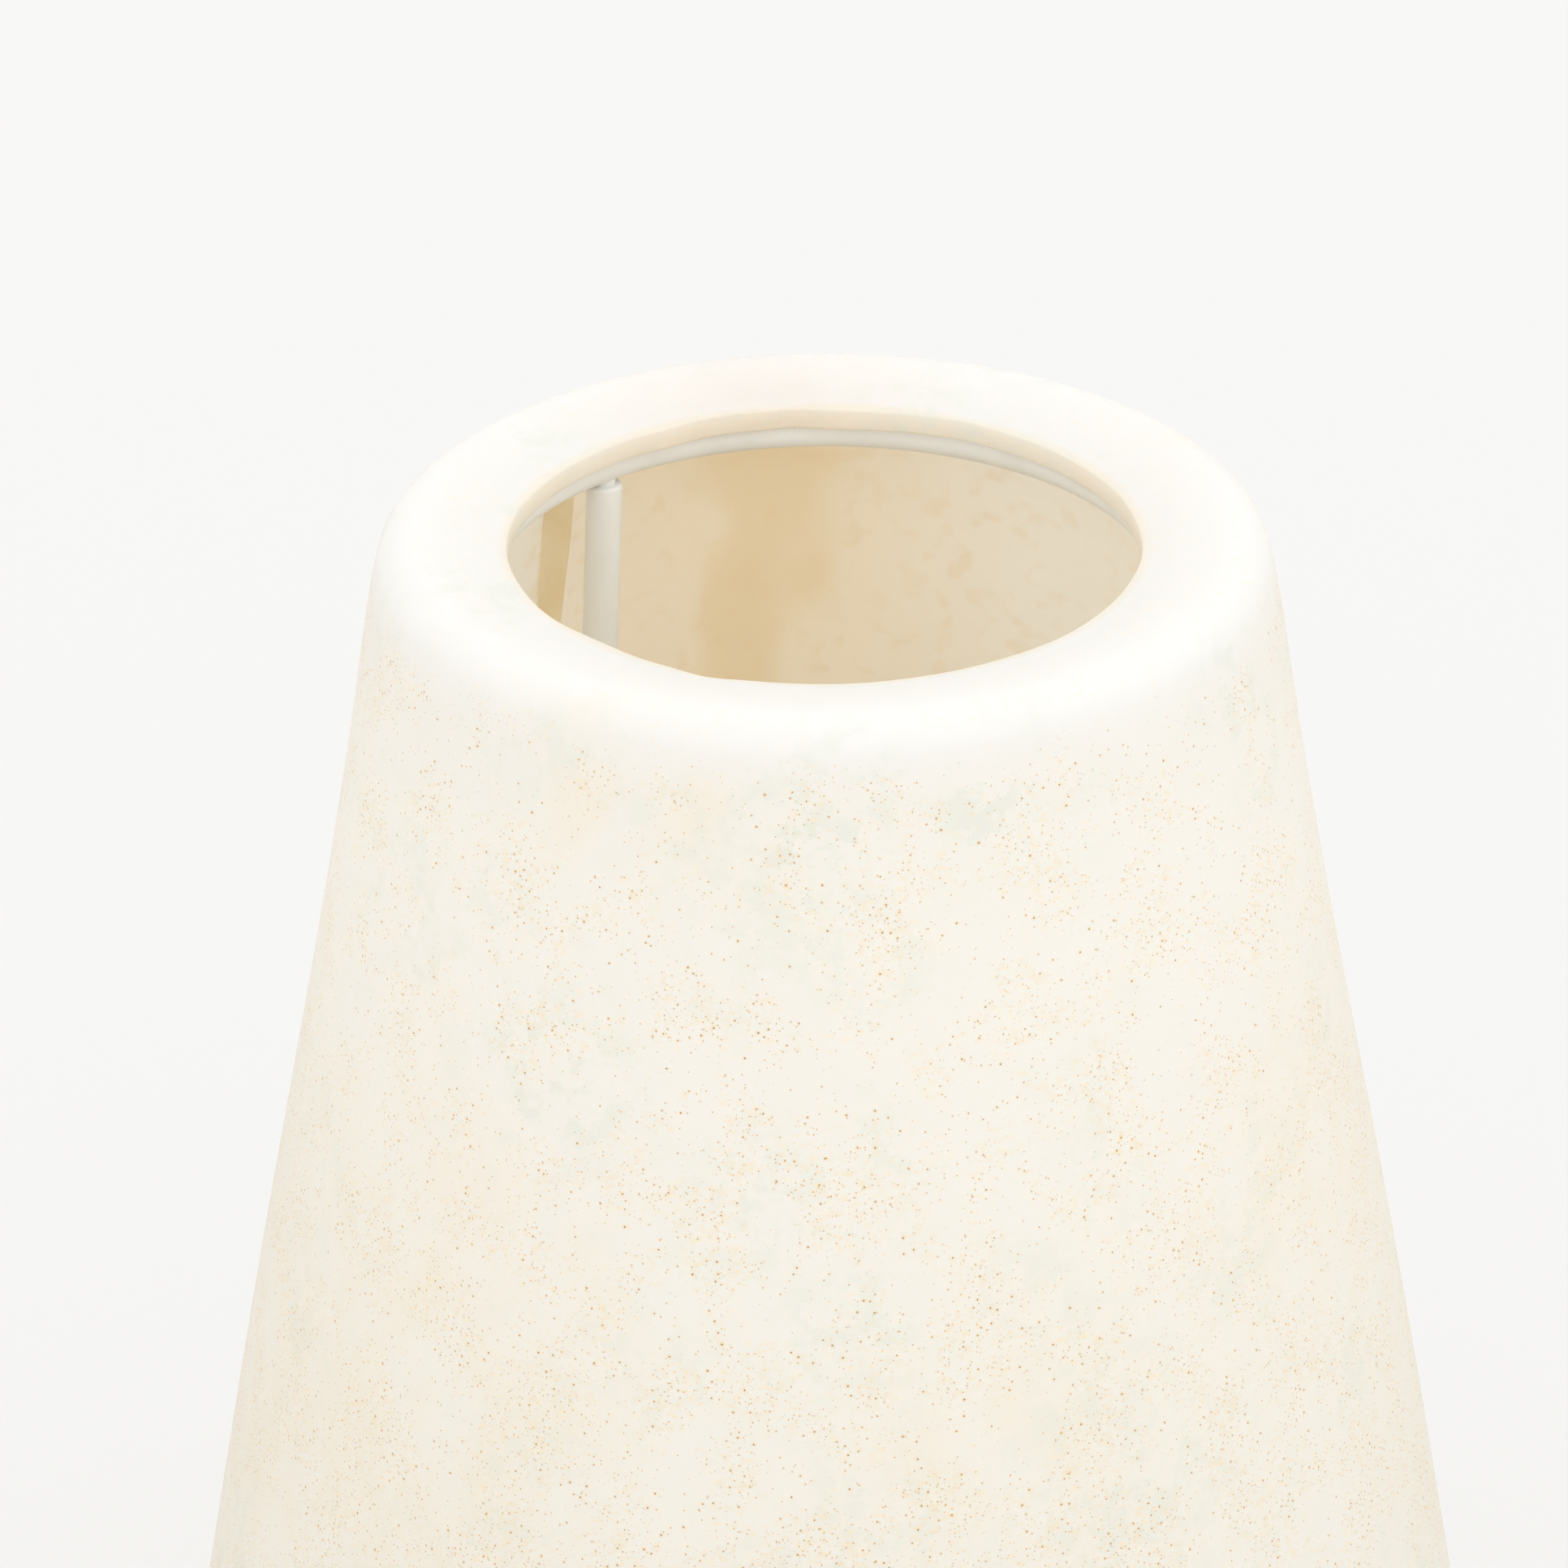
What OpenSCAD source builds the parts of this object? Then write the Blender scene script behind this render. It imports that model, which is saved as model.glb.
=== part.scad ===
// Table lantern: a tapered goatskin shell that hangs over a white steel stand.
// Millimetres. Z is up, the origin is on the table under the middle of the base.

/* [Shell] */
// Height of the shell's highest point above the table
lantern_h = 380; // [320:5:420]
// Radius where the straight wall, carried on upwards, meets the top
shoulder_r = 70; // [66:0.5:76]
// Outward run of the wall for each millimetre down
wall_taper = 0.1855; // [0.15:0.005:0.22]
// Radius of the rounded shoulder
shoulder_round = 6; // [5:0.5:8]
// Angle at which the top dips towards the hole
dish_angle = 11; // [6:1:14]
// Radius of the hole in the top
hole_r = 50; // [46:0.5:52]
// Thickness of the goatskin
skin_t = 1; // [0.8:0.1:1.2]
// Thickness of the stiff former under the skin
former_t = 2.2; // [1.8:0.1:2.6]
// Height of the skin's turned-down edge in the hole
lip_h = 3.6; // [3:0.1:4.5]
// Gap between the shell's lower edge and the table
hem_gap = 7; // [6:0.5:10]
// Height of the skin that is turned in at the lower edge
hem_flap_h = 12; // [8:1:18]
// Width of the strip glued over the skin's joint
seam_w = 6; // [5:0.5:10]
// Direction of the joint round the shell
seam_angle = 129; // [127:1:131]

/* [Stand] */
// Radius of the wire of the ring and of the rods
wire_r = 3; // [2.5:0.1:3.2]
// Radius of the ring, to the middle of its wire
ring_r = 55; // [54.5:0.5:57]
// Outward run of each rod for each millimetre down
rod_lean = 0.07; // [0.05:0.01:0.09]
// Direction of the first rod; the other two follow at thirds of a turn
rod_angle = 131; // [130:1:132]
// Radius of the base plate
plate_r = 126; // [120:1:128]
// Thickness of the base plate
plate_t = 4; // [3:0.5:6]

/* [Feet] */
// Height of the rubber feet
foot_h = 8; // [6:0.5:10]
// Radius of the rubber feet
foot_r = 11; // [9:0.5:13]
// Distance of the feet from the middle
foot_ring_r = 108; // [100:1:112]

/* [Lampholder] */
// Length of the spacer tube that lifts the lampholder off the plate
stem_h = 68; // [50:1:75]
// Outer radius of the lampholder
holder_r = 20; // [18:0.5:22]
// Height of the lampholder's body
holder_h = 42; // [40:1:45]
// Radius of the bulb's screw cap
bulb_cap_r = 13.2; // [13:0.1:13.3]
// Radius of the bulb's glass
globe_r = 30; // [28:0.5:32]
// Thickness of the bulb's glass
glass_t = 0.8; // [0.6:0.1:1]

/* [Hidden] */
$fn = 96;

white_paint = "#eceae4";
skin_tone = "#f5f1e6";
former_tone = "#e6d3af";
zinc_tone = "#b9bcc0";
brass_tone = "#c9a552";
rubber_tone = "#2b2b2c";
holder_tone = "#f3f1ec";

// Small gap that keeps a loose part clear of the part it sits on
loose = 0.3;
// Thickness of the glue between the skin and the former, and of the cement in the bulb's cap
glue_t = 0.05;
// Extra length that carries a cut past the face it opens
past = 1;

// Shoulder: the arc that joins the wall to the top, and the points on it
wall_angle = atan(wall_taper);
arc_r = shoulder_r + wall_taper * shoulder_round - shoulder_round / cos(wall_angle);
arc_z = lantern_h - shoulder_round;
arc_steps = 14;

// Radius of the wall's outer face, d under its surface, at height z
function wall_r(z, d) = shoulder_r + wall_taper * (lantern_h - z) - d / cos(wall_angle);
// Height of the top's outer face, d under its surface, at radius r
function top_z(r, d) = arc_z + (shoulder_round - d) / cos(dish_angle)
    - (arc_r - r) * tan(dish_angle);
// Outline from the lower edge up the wall, over the shoulder and in to radius r
function outline(d, z_low, r_in) = concat(
    [[wall_r(z_low, d), z_low]],
    [for (i = [0:arc_steps])
        let (t = wall_angle + (90 + dish_angle - wall_angle) * i / arc_steps)
        [arc_r + (shoulder_round - d) * cos(t), arc_z + (shoulder_round - d) * sin(t)]],
    [[r_in, top_z(r_in, d)]]);
function reversed(list) = [for (i = [len(list) - 1:-1:0]) list[i]];

former_d = skin_t + glue_t;
shell_t = former_d + former_t;
lip_z = top_z(hole_r, 0) - lip_h;

// Ring: it carries the former's underside with a loose gap
ring_z = top_z(ring_r, shell_t) - (wire_r + loose) / cos(dish_angle);
rod_top_z = ring_z - wire_r;

// Base plate and rods
plate_z = foot_h;
plate_top = plate_z + plate_t;
rod_foot_r = ring_r + rod_lean * (rod_top_z - plate_z);
rod_tilt = atan(rod_lean);
rod_gap = 0.5;
spigot_r = 1.8;
rod_turns = [0, 120, 240];
foot_turns = [60, 180, 300];

// Screws in the feet and at the earth point
screw_r = 2;
screw_play = 0.05;
head_r = 3.8;
head_h = 2.4;
slot_w = 1;
slot_d = 1;
pad_web = 3;
earth_x = 26;

// Stem and lampholder
nipple_r = 5;
nipple_bore_r = 3.5;
stem_tube_r = 7.5;
stem_top = plate_top + stem_h;
nipple_low = 2;
nut_h = 3;
washer_t = 0.8;
cap_h = 16;
cap_t = 2.5;
holder_wall = 5;
holder_z = stem_top + cap_h;
core_z = holder_z - 4;
core_h = 12;
liner_r = 13.9;
liner_t = 0.5;
liner_z = core_z + core_h;
holder_top = holder_z + holder_h;
contact_h = 2.4;
terminal_x = 8.5;
terminal_r = 1.6;
terminal_depth = 7;

// Bulb
bulb_low = liner_z + contact_h + loose;
cap_low = bulb_low + 4.5;
cap_top = holder_top + 2;
thread_pitch = 3.6;
thread_depth = 0.5;
neck_r = bulb_cap_r - 0.4;
neck_low = cap_top - 4;
globe_z = cap_top + 48;
globe_steps = 18;

// Radius of the glass at a share s of the way from the cap to the widest point
function neck_curve(s) = neck_r + (globe_r - neck_r) * pow(sin(90 * s), 1.6);
// Outline of the glass, d under its surface, from inside the cap to the crown
function globe_line(d) = concat(
    [[neck_r - d, neck_low]],
    [for (i = [0:globe_steps])
        [neck_curve(i / globe_steps) - d, cap_top + (globe_z - cap_top) * i / globe_steps]],
    [for (i = [1:globe_steps])
        [max(0, (globe_r - d) * cos(90 * i / globe_steps)),
         globe_z + (globe_r - d) * sin(90 * i / globe_steps)]]);

// --- Shell ---------------------------------------------------------------

// One wet-formed skin: wall, shoulder, dished top, turned-down lip and hem
module parchment_skin() {
    color(skin_tone)
    rotate_extrude()
    union() {
        polygon(concat(
            outline(0, hem_gap, hole_r),
            reversed(outline(skin_t, hem_gap, hole_r))));
        translate([hole_r, lip_z])
            square([skin_t, top_z(hole_r, skin_t / 2) - lip_z]);
        hem_flap_profile();
    }
}

// The skin's lower edge, folded under the former and up its inner face
module hem_flap_profile() {
    inner = shell_t + skin_t;
    low = hem_gap;
    high = hem_gap + hem_flap_h;
    polygon([
        [wall_r(low, 0), low],
        [wall_r(low + skin_t, 0), low + skin_t],
        [wall_r(low + skin_t, shell_t + glue_t), low + skin_t],
        [wall_r(high, shell_t + glue_t), high],
        [wall_r(high, inner), high],
        [wall_r(low, inner), low]]);
}

// Stiff translucent former that the skin is stretched over
module shell_former() {
    low = hem_gap + former_d;
    color(former_tone)
    rotate_extrude()
    polygon(concat(
        outline(former_d, low, hole_r + former_d),
        reversed(outline(shell_t, low, hole_r + former_d))));
}

// Strip along the wall over the joint, on the former's inner face
module seam_strip() {
    strip_t = 0.5;
    strip_glue = 0.12;
    face = shell_t + strip_glue;
    low = hem_gap + hem_flap_h + 1;
    high = arc_z - 2;
    color("#cdb184")
    intersection() {
        rotate_extrude()
        polygon([
            [wall_r(low, face), low],
            [wall_r(high, face), high],
            [wall_r(high, face + strip_t), high],
            [wall_r(low, face + strip_t), low]]);
        rotate([0, 0, seam_angle])
        translate([0, -seam_w / 2, 0])
            cube([2 * shoulder_r + lantern_h, seam_w, lantern_h]);
    }
}

// --- Stand ---------------------------------------------------------------

// Axis of a rod: from the plate's underside up and in to the ring
module along_rod(turn) {
    rotate([0, 0, rod_angle + turn])
    translate([rod_foot_r, 0, plate_z])
    rotate([0, -rod_tilt, 0])
        children();
}

// Welded wire ring with a drilled seat for each rod's spigot
module top_ring() {
    color(white_paint)
    difference() {
        rotate_extrude()
            translate([ring_r, ring_z])
                circle(r = wire_r, $fn = 48);
        for (turn = rod_turns)
            along_rod(turn)
                cylinder(h = (ring_z - plate_z) / cos(rod_tilt), r = spigot_r, $fn = 32);
    }
}

// Round rod, cut level at both ends, with a spigot that enters the ring
module rod(turn) {
    shaft_top = rod_top_z - rod_gap;
    reach = (ring_z - plate_z) / cos(rod_tilt);
    color(white_paint)
    union() {
        intersection() {
            along_rod(turn)
                translate([0, 0, -wire_r])
                    cylinder(h = reach + 2 * wire_r, r = wire_r, $fn = 48);
            translate([-plate_r, -plate_r, plate_z])
                cube([2 * plate_r, 2 * plate_r, shaft_top - plate_z]);
        }
        along_rod(turn)
            translate([0, 0, reach / 2])
                cylinder(h = reach / 2, r = spigot_r, $fn = 32);
    }
}

module rod_rear_left() {
    rod(rod_turns[0]);
}

module rod_front() {
    rod(rod_turns[1]);
}

module rod_right() {
    rod(rod_turns[2]);
}

// Steel disc with a softened rim, drilled for rods, feet, nipple and earth screw
module base_plate() {
    edge = 1;
    color(white_paint)
    difference() {
        rotate_extrude($fn = 180)
            polygon([
                [0, plate_z], [plate_r - edge, plate_z], [plate_r, plate_z + edge],
                [plate_r, plate_top - edge], [plate_r - edge, plate_top], [0, plate_top]]);
        translate([0, 0, plate_z - past])
            cylinder(h = plate_t + 2 * past, r = nipple_r + 0.1);
        for (turn = rod_turns)
            along_rod(turn)
                translate([0, 0, -wire_r])
                    cylinder(h = plate_t + 3 * wire_r, r = wire_r + 0.05, $fn = 48);
        for (turn = foot_turns)
            at_foot(turn)
                translate([0, 0, plate_z - past])
                    cylinder(h = plate_t + 2 * past, r = screw_r + screw_play, $fn = 32);
        translate([earth_x, 0, plate_z - past])
            cylinder(h = plate_t + 2 * past, r = screw_r + screw_play, $fn = 32);
    }
}

// --- Feet ----------------------------------------------------------------

module at_foot(turn) {
    rotate([0, 0, rod_angle + turn])
    translate([foot_ring_r, 0, 0])
        children();
}

// Rubber pad with a tapered side and a sunk seat for its screw
module foot_pad(turn) {
    taper = 1.5;
    color(rubber_tone)
    at_foot(turn)
    rotate_extrude($fn = 64)
        polygon([
            [screw_r + 0.1, foot_h], [foot_r, foot_h], [foot_r, foot_h - 1],
            [foot_r - taper, 0.6], [foot_r - taper - 0.6, 0],
            [head_r + 0.8, 0], [head_r + 0.8, foot_h - pad_web],
            [screw_r + 0.1, foot_h - pad_web]]);
}

module foot_pad_rear() {
    foot_pad(foot_turns[2]);
}

module foot_pad_left() {
    foot_pad(foot_turns[0]);
}

module foot_pad_right() {
    foot_pad(foot_turns[1]);
}

// Pan-head screw, its head's seat at z = 0 and its shank along +Z
module pan_screw(shank) {
    difference() {
        union() {
            cylinder(h = shank, r = screw_r, $fn = 32);
            translate([0, 0, -head_h])
                cylinder(h = head_h, r = head_r, $fn = 40);
        }
        translate([-head_r, -slot_w / 2, -head_h - past])
            cube([2 * head_r, slot_w, slot_d + past]);
    }
}

module foot_screws() {
    color(zinc_tone)
    for (turn = foot_turns)
        at_foot(turn)
            translate([0, 0, foot_h - pad_web])
                pan_screw(pad_web + plate_t);
}

// --- Stem ----------------------------------------------------------------

// Hollow threaded tube that the mains lead would pass through
module threaded_nipple() {
    color(zinc_tone)
    translate([0, 0, nipple_low])
    difference() {
        cylinder(h = stem_top + cap_h / 2 - nipple_low, r = nipple_r);
        translate([0, 0, -past])
            cylinder(h = stem_top + cap_h, r = nipple_bore_r);
    }
}

// White spacer tube clamped between the plate and the lampholder
module stem_tube() {
    color(white_paint)
    translate([0, 0, plate_top])
    difference() {
        cylinder(h = stem_h, r = stem_tube_r);
        translate([0, 0, -past])
            cylinder(h = stem_h + 2 * past, r = nipple_r + 0.1);
    }
}

// Washer under the plate with shallow teeth round its rim
module lock_washer() {
    washer_r = 9;
    teeth = 12;
    color(zinc_tone)
    translate([0, 0, plate_z - washer_t])
    difference() {
        cylinder(h = washer_t, r = washer_r);
        translate([0, 0, -past])
            cylinder(h = washer_t + 2 * past, r = nipple_r + 0.1);
        for (i = [0:teeth - 1])
            rotate([0, 0, i * 360 / teeth])
            translate([washer_r, 0, -past])
                cylinder(h = washer_t + 2 * past, r = 0.8, $fn = 16);
    }
}

module lock_nut() {
    nut_r = 8.1;
    color(zinc_tone)
    translate([0, 0, plate_z - washer_t - nut_h])
    difference() {
        intersection() {
            cylinder(h = nut_h, r = nut_r, $fn = 6);
            cylinder(h = nut_h, r1 = nut_r - 0.7, r2 = nut_r + 1.6, $fn = 64);
        }
        translate([0, 0, -past])
            cylinder(h = nut_h + 2 * past, r = nipple_r + 0.05);
    }
}

// Flared insulating bush pushed on the nipple's lower end: the cord's inlet
module cord_bush() {
    bush_r = 6.6;
    bush_low = 0.8;
    bush_top = plate_z - washer_t - nut_h;
    color(holder_tone)
    rotate_extrude($fn = 64)
        polygon([
            [nipple_bore_r, nipple_low], [nipple_bore_r + 0.8, bush_low],
            [bush_r - 0.6, bush_low], [bush_r, bush_low + 0.6], [bush_r, bush_top],
            [nipple_r + screw_play, bush_top], [nipple_r + screw_play, nipple_low]]);
}

module earth_screw() {
    color(brass_tone)
    translate([earth_x, 0, plate_top + washer_t])
    mirror([0, 0, 1])
        pan_screw(plate_t + washer_t);
}

module earth_washer() {
    color(brass_tone)
    translate([earth_x, 0, plate_top])
    difference() {
        cylinder(h = washer_t, r = 5, $fn = 48);
        translate([0, 0, -past])
            cylinder(h = washer_t + 2 * past, r = screw_r + 0.1, $fn = 32);
    }
}

// --- Lampholder ----------------------------------------------------------

// Domed cap that screws on the nipple and closes the lampholder from below
module lampholder_cap() {
    color(holder_tone)
    rotate_extrude()
    polygon([
        [nipple_r + 0.05, stem_top], [stem_tube_r + 3, stem_top],
        [stem_tube_r + 4, stem_top + 1], [holder_r - 5, stem_top + 5],
        [holder_r - 2, stem_top + 8], [holder_r - 0.5, stem_top + 12],
        [holder_r, holder_z], [holder_r - cap_t, holder_z],
        [holder_r - cap_t - 0.5, stem_top + 12.5], [holder_r - cap_t - 2, stem_top + 9.5],
        [stem_tube_r + 3, stem_top + 5], [stem_tube_r + 1, stem_top + cap_h / 2 + 1],
        [nipple_r + 0.05, stem_top + cap_h / 2 + 1]]);
}

// Open-topped body that the bulb screws into, with a grip of fine ribs
module lampholder_body() {
    ribs = 36;
    rib_r = 0.6;
    rib_low = holder_z + 6;
    rib_h = holder_h - 16;
    color(holder_tone)
    difference() {
        rotate_extrude()
            polygon([
                [holder_r - holder_wall, holder_z], [holder_r, holder_z],
                [holder_r, holder_top - 4], [holder_r + 1, holder_top - 3],
                [holder_r + 1, holder_top - 0.8], [holder_r + 0.2, holder_top],
                [holder_r - holder_wall, holder_top]]);
        for (i = [0:ribs - 1])
            rotate([0, 0, i * 360 / ribs])
            translate([holder_r + 0.15, 0, rib_low])
                cylinder(h = rib_h, r = rib_r, $fn = 16);
    }
}

// Ceramic core that carries the contacts
module terminal_core() {
    color("#f7f5f0")
    difference() {
        translate([0, 0, core_z])
            cylinder(h = core_h, r = holder_r - holder_wall - 0.3);
        for (side = [-1, 1])
            translate([side * terminal_x, 0, core_z - past])
                cylinder(h = terminal_depth + past, r = terminal_r + 0.05, $fn = 24);
    }
}

module terminal_screws() {
    color(brass_tone)
    for (side = [-1, 1])
        translate([side * terminal_x, 0, core_z - 1.5]) {
            cylinder(h = terminal_depth + 1.5 - loose, r = terminal_r, $fn = 24);
            cylinder(h = 1.5, r = 2.6, $fn = 32);
        }
}

// Brass sleeve with a rolled thread, seated on the core
module threaded_liner() {
    color(brass_tone)
    rotate_extrude()
    polygon([
        [9, liner_z], [liner_r + liner_t, liner_z],
        [liner_r + liner_t, holder_top - 3], [liner_r, holder_top - 3],
        [liner_r, liner_z + liner_t], [9, liner_z + liner_t]]);
}

// Sprung brass tongue under the bulb's tip
module centre_contact() {
    tongue_w = 5;
    tongue_l = 11;
    color(brass_tone)
    translate([0, 0, liner_z])
    union() {
        translate([-tongue_l / 2, -tongue_w / 2, 0])
            cube([tongue_l, tongue_w, 0.6]);
        cylinder(h = contact_h, r = 2.2, $fn = 40);
    }
}

// --- Bulb ----------------------------------------------------------------

// Outline of the rolled thread: a row of shallow waves up the cap
function thread_line(z_low, turns) = [for (i = [0:turns * 8])
    [bulb_cap_r - thread_depth / 2 + thread_depth / 2 * cos(i * 45),
     z_low + thread_pitch * i / 8]];

module bulb_cap() {
    turns = 5;
    thread_low = cap_low + 2.5;
    color(zinc_tone)
    rotate_extrude()
    polygon(concat(
        [[bulb_cap_r - 3.2, cap_low], [bulb_cap_r - 2, cap_low]],
        thread_line(thread_low, turns),
        [[bulb_cap_r, cap_top - 1], [bulb_cap_r, cap_top],
         [neck_r + glue_t, cap_top], [neck_r + glue_t, neck_low],
         [neck_r - glass_t - 1, neck_low], [bulb_cap_r - 1.8, neck_low - 1],
         [bulb_cap_r - 3.2, cap_low + 3]]));
}

// Dark glass cone between the cap and the tip
module bulb_insulator() {
    color("#26262a")
    rotate_extrude()
    polygon([
        [0, bulb_low + 1.6], [4.6, bulb_low + 1.6], [bulb_cap_r - 4.2, cap_low],
        [bulb_cap_r - 3.3, cap_low + 0.6], [bulb_cap_r - 3.3, cap_low + 3], [0, cap_low + 3]]);
}

module bulb_contact() {
    color(brass_tone)
    rotate_extrude($fn = 48)
    polygon([
        [0, bulb_low], [2.6, bulb_low], [4, bulb_low + 0.7], [4.4, bulb_low + 1.6],
        [0, bulb_low + 1.6]]);
}

module bulb_globe() {
    color("#e8eef0", 0.35)
    rotate_extrude()
    polygon(concat(globe_line(0), reversed(globe_line(glass_t))));
}

// Glass mount inside the globe that holds the filaments
module bulb_mount() {
    foot = neck_low;
    flare_r = neck_r - glass_t - glue_t;
    color("#e8eef0", 0.35)
    rotate_extrude($fn = 48)
    polygon([
        [0, foot], [flare_r, foot], [flare_r, foot + 1.2], [5, foot + 5], [3.6, foot + 12],
        [3.2, foot + 22], [2, foot + 26], [1.1, foot + 30], [0.9, foot + 52], [0, foot + 54]]);
}

// Four slim light rods that lean out from the mount's top
module bulb_filaments() {
    count = 4;
    low_r = 4.2;
    base_z = cap_top + 22;
    rod_h = 30;
    lean = 9;
    color("#e9b94a")
    for (i = [0:count - 1])
        rotate([0, 0, 45 + i * 360 / count])
        translate([low_r, 0, base_z])
        rotate([0, lean, 0])
            cylinder(h = rod_h, r = 0.9, $fn = 20);
}

parchment_skin();
shell_former();
seam_strip();
top_ring();
rod_rear_left();
rod_front();
rod_right();
base_plate();
foot_pad_rear();
foot_pad_left();
foot_pad_right();
foot_screws();
threaded_nipple();
stem_tube();
lock_washer();
lock_nut();
cord_bush();
earth_screw();
earth_washer();
lampholder_cap();
lampholder_body();
terminal_core();
threaded_liner();
centre_contact();
terminal_screws();
bulb_cap();
bulb_insulator();
bulb_contact();
bulb_globe();
bulb_mount();
bulb_filaments();
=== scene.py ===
"""Looks of the table lantern: a goatskin shell over a white wire stand with lampholder and bulb.

Everything is in metres, Z up, with the origin on the table under the middle of the base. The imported
CAD model is the fixed frame, and each class below dresses one sub-assembly of it.
"""
import logging
import math
from dataclasses import dataclass, field
from enum import Enum

import bpy
import numpy as np
from mathutils import Matrix, Vector


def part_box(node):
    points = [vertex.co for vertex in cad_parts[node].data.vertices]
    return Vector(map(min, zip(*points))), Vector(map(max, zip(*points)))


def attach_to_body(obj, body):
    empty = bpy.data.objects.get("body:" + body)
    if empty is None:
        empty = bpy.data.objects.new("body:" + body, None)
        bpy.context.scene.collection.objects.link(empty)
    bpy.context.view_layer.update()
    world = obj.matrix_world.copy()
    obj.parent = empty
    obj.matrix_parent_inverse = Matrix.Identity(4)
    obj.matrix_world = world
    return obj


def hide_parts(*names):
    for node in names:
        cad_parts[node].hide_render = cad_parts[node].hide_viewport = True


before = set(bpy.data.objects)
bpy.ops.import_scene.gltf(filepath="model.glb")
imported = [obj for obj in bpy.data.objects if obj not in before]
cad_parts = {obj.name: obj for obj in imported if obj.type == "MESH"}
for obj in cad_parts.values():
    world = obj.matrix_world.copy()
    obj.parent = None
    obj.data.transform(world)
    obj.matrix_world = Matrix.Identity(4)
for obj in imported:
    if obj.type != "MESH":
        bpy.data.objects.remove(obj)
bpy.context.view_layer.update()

log = logging.getLogger("lantern")
MM = 0.001
TAU = 2 * math.pi

Array = np.ndarray
Colour = tuple[float, float, float]


class Body(Enum):
    """The CAD bodies that pieces ride on."""

    STAND = "stand"
    SHELL = "shell"
    BULB = "bulb"


class Slot(Enum):
    """The record's material slots."""

    PARCHMENT = "parchment"
    FORMER = "former"
    SEAM = "seam"
    WHITE_PAINT = "white_paint"
    ZINC = "zinc"
    BRASS = "brass"
    RUBBER = "rubber"
    HOLDER = "holder_plastic"
    CERAMIC = "ceramic_core"
    CAP_GLASS = "cap_glass"
    BULB_GLASS = "bulb_glass"
    FILAMENT = "filament"


# --- Measures taken from the frame ------------------------------------------


@dataclass(frozen=True)
class NodeBox:
    """The box of one CAD node at rest.

    Attributes:
        low: Its lowest corner.
        high: Its highest corner.
    """

    low: Vector
    high: Vector

    @classmethod
    def of(cls, node: str) -> "NodeBox":
        """Reads a node's box from the frame."""
        return cls(*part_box(node))

    @property
    def radius(self) -> float:
        """Half of the box's width along X."""
        return (self.high.x - self.low.x) / 2

    @property
    def span(self) -> tuple[float, float, float]:
        """Lowest height, highest height and radius, in millimetres."""
        return self.low.z / MM, self.high.z / MM, self.radius / MM

    @property
    def centre(self) -> Vector:
        """Middle of the box."""
        return (self.low + self.high) / 2


def node_points(node: str) -> Array:
    """Returns a CAD node's vertices.

    Args:
        node: Name of the CAD node.

    Returns:
        Array of shape (n, 3).
    """
    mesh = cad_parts[node].data
    flat = np.empty(len(mesh.vertices) * 3)
    mesh.vertices.foreach_get("co", flat)
    return flat.reshape(-1, 3)


# --- Meshes ------------------------------------------------------------------


def smoothstep(x: Array, low: float, high: float) -> Array:
    """Returns 0 below low, 1 above high and 3t^2 - 2t^3 between them."""
    t = np.clip((x - low) / (high - low), 0.0, 1.0)
    return t * t * (3 - 2 * t)


def soft_field(points: Array, size: float, seed: int) -> Array:
    """Returns a smooth random pattern from 0 to 1.

    It is the mean of 14 plane waves, cos(2 pi (k . p) / length + shift), whose ways k, lengths and
    shifts are drawn from a seeded generator, spread out so that it fills the range.

    Args:
        points: Points, with X, Y and Z last.
        size: Length of the mean wave.
        seed: Seed of the generator.

    Returns:
        The pattern's value at each point.
    """
    waves = 14
    draw = np.random.default_rng(seed)
    way = draw.normal(size=(waves, 3))
    way /= np.linalg.norm(way, axis=1, keepdims=True)
    length = size * draw.uniform(0.7, 1.6, waves)
    shift = draw.uniform(0, TAU, waves)
    wave = np.cos(TAU * (points @ way.T) / length + shift).mean(axis=-1)
    return np.clip(0.5 + 1.35 * wave, 0, 1)


def turns(count: int) -> Array:
    """Returns evenly spaced angles all the way round."""
    return np.arange(count) * TAU / count


def polar(radius: Array, angle: Array, z: Array) -> Array:
    """Returns X, Y and Z of points given by radius, angle and height, broadcast together."""
    return np.stack(np.broadcast_arrays(radius * np.cos(angle), radius * np.sin(angle), z),
                    axis=-1)


def level(radius: float | Array, z: Array) -> Array:
    """Returns points of radius and height, broadcast together."""
    return np.stack(np.broadcast_arrays(radius, z), axis=-1)


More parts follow.
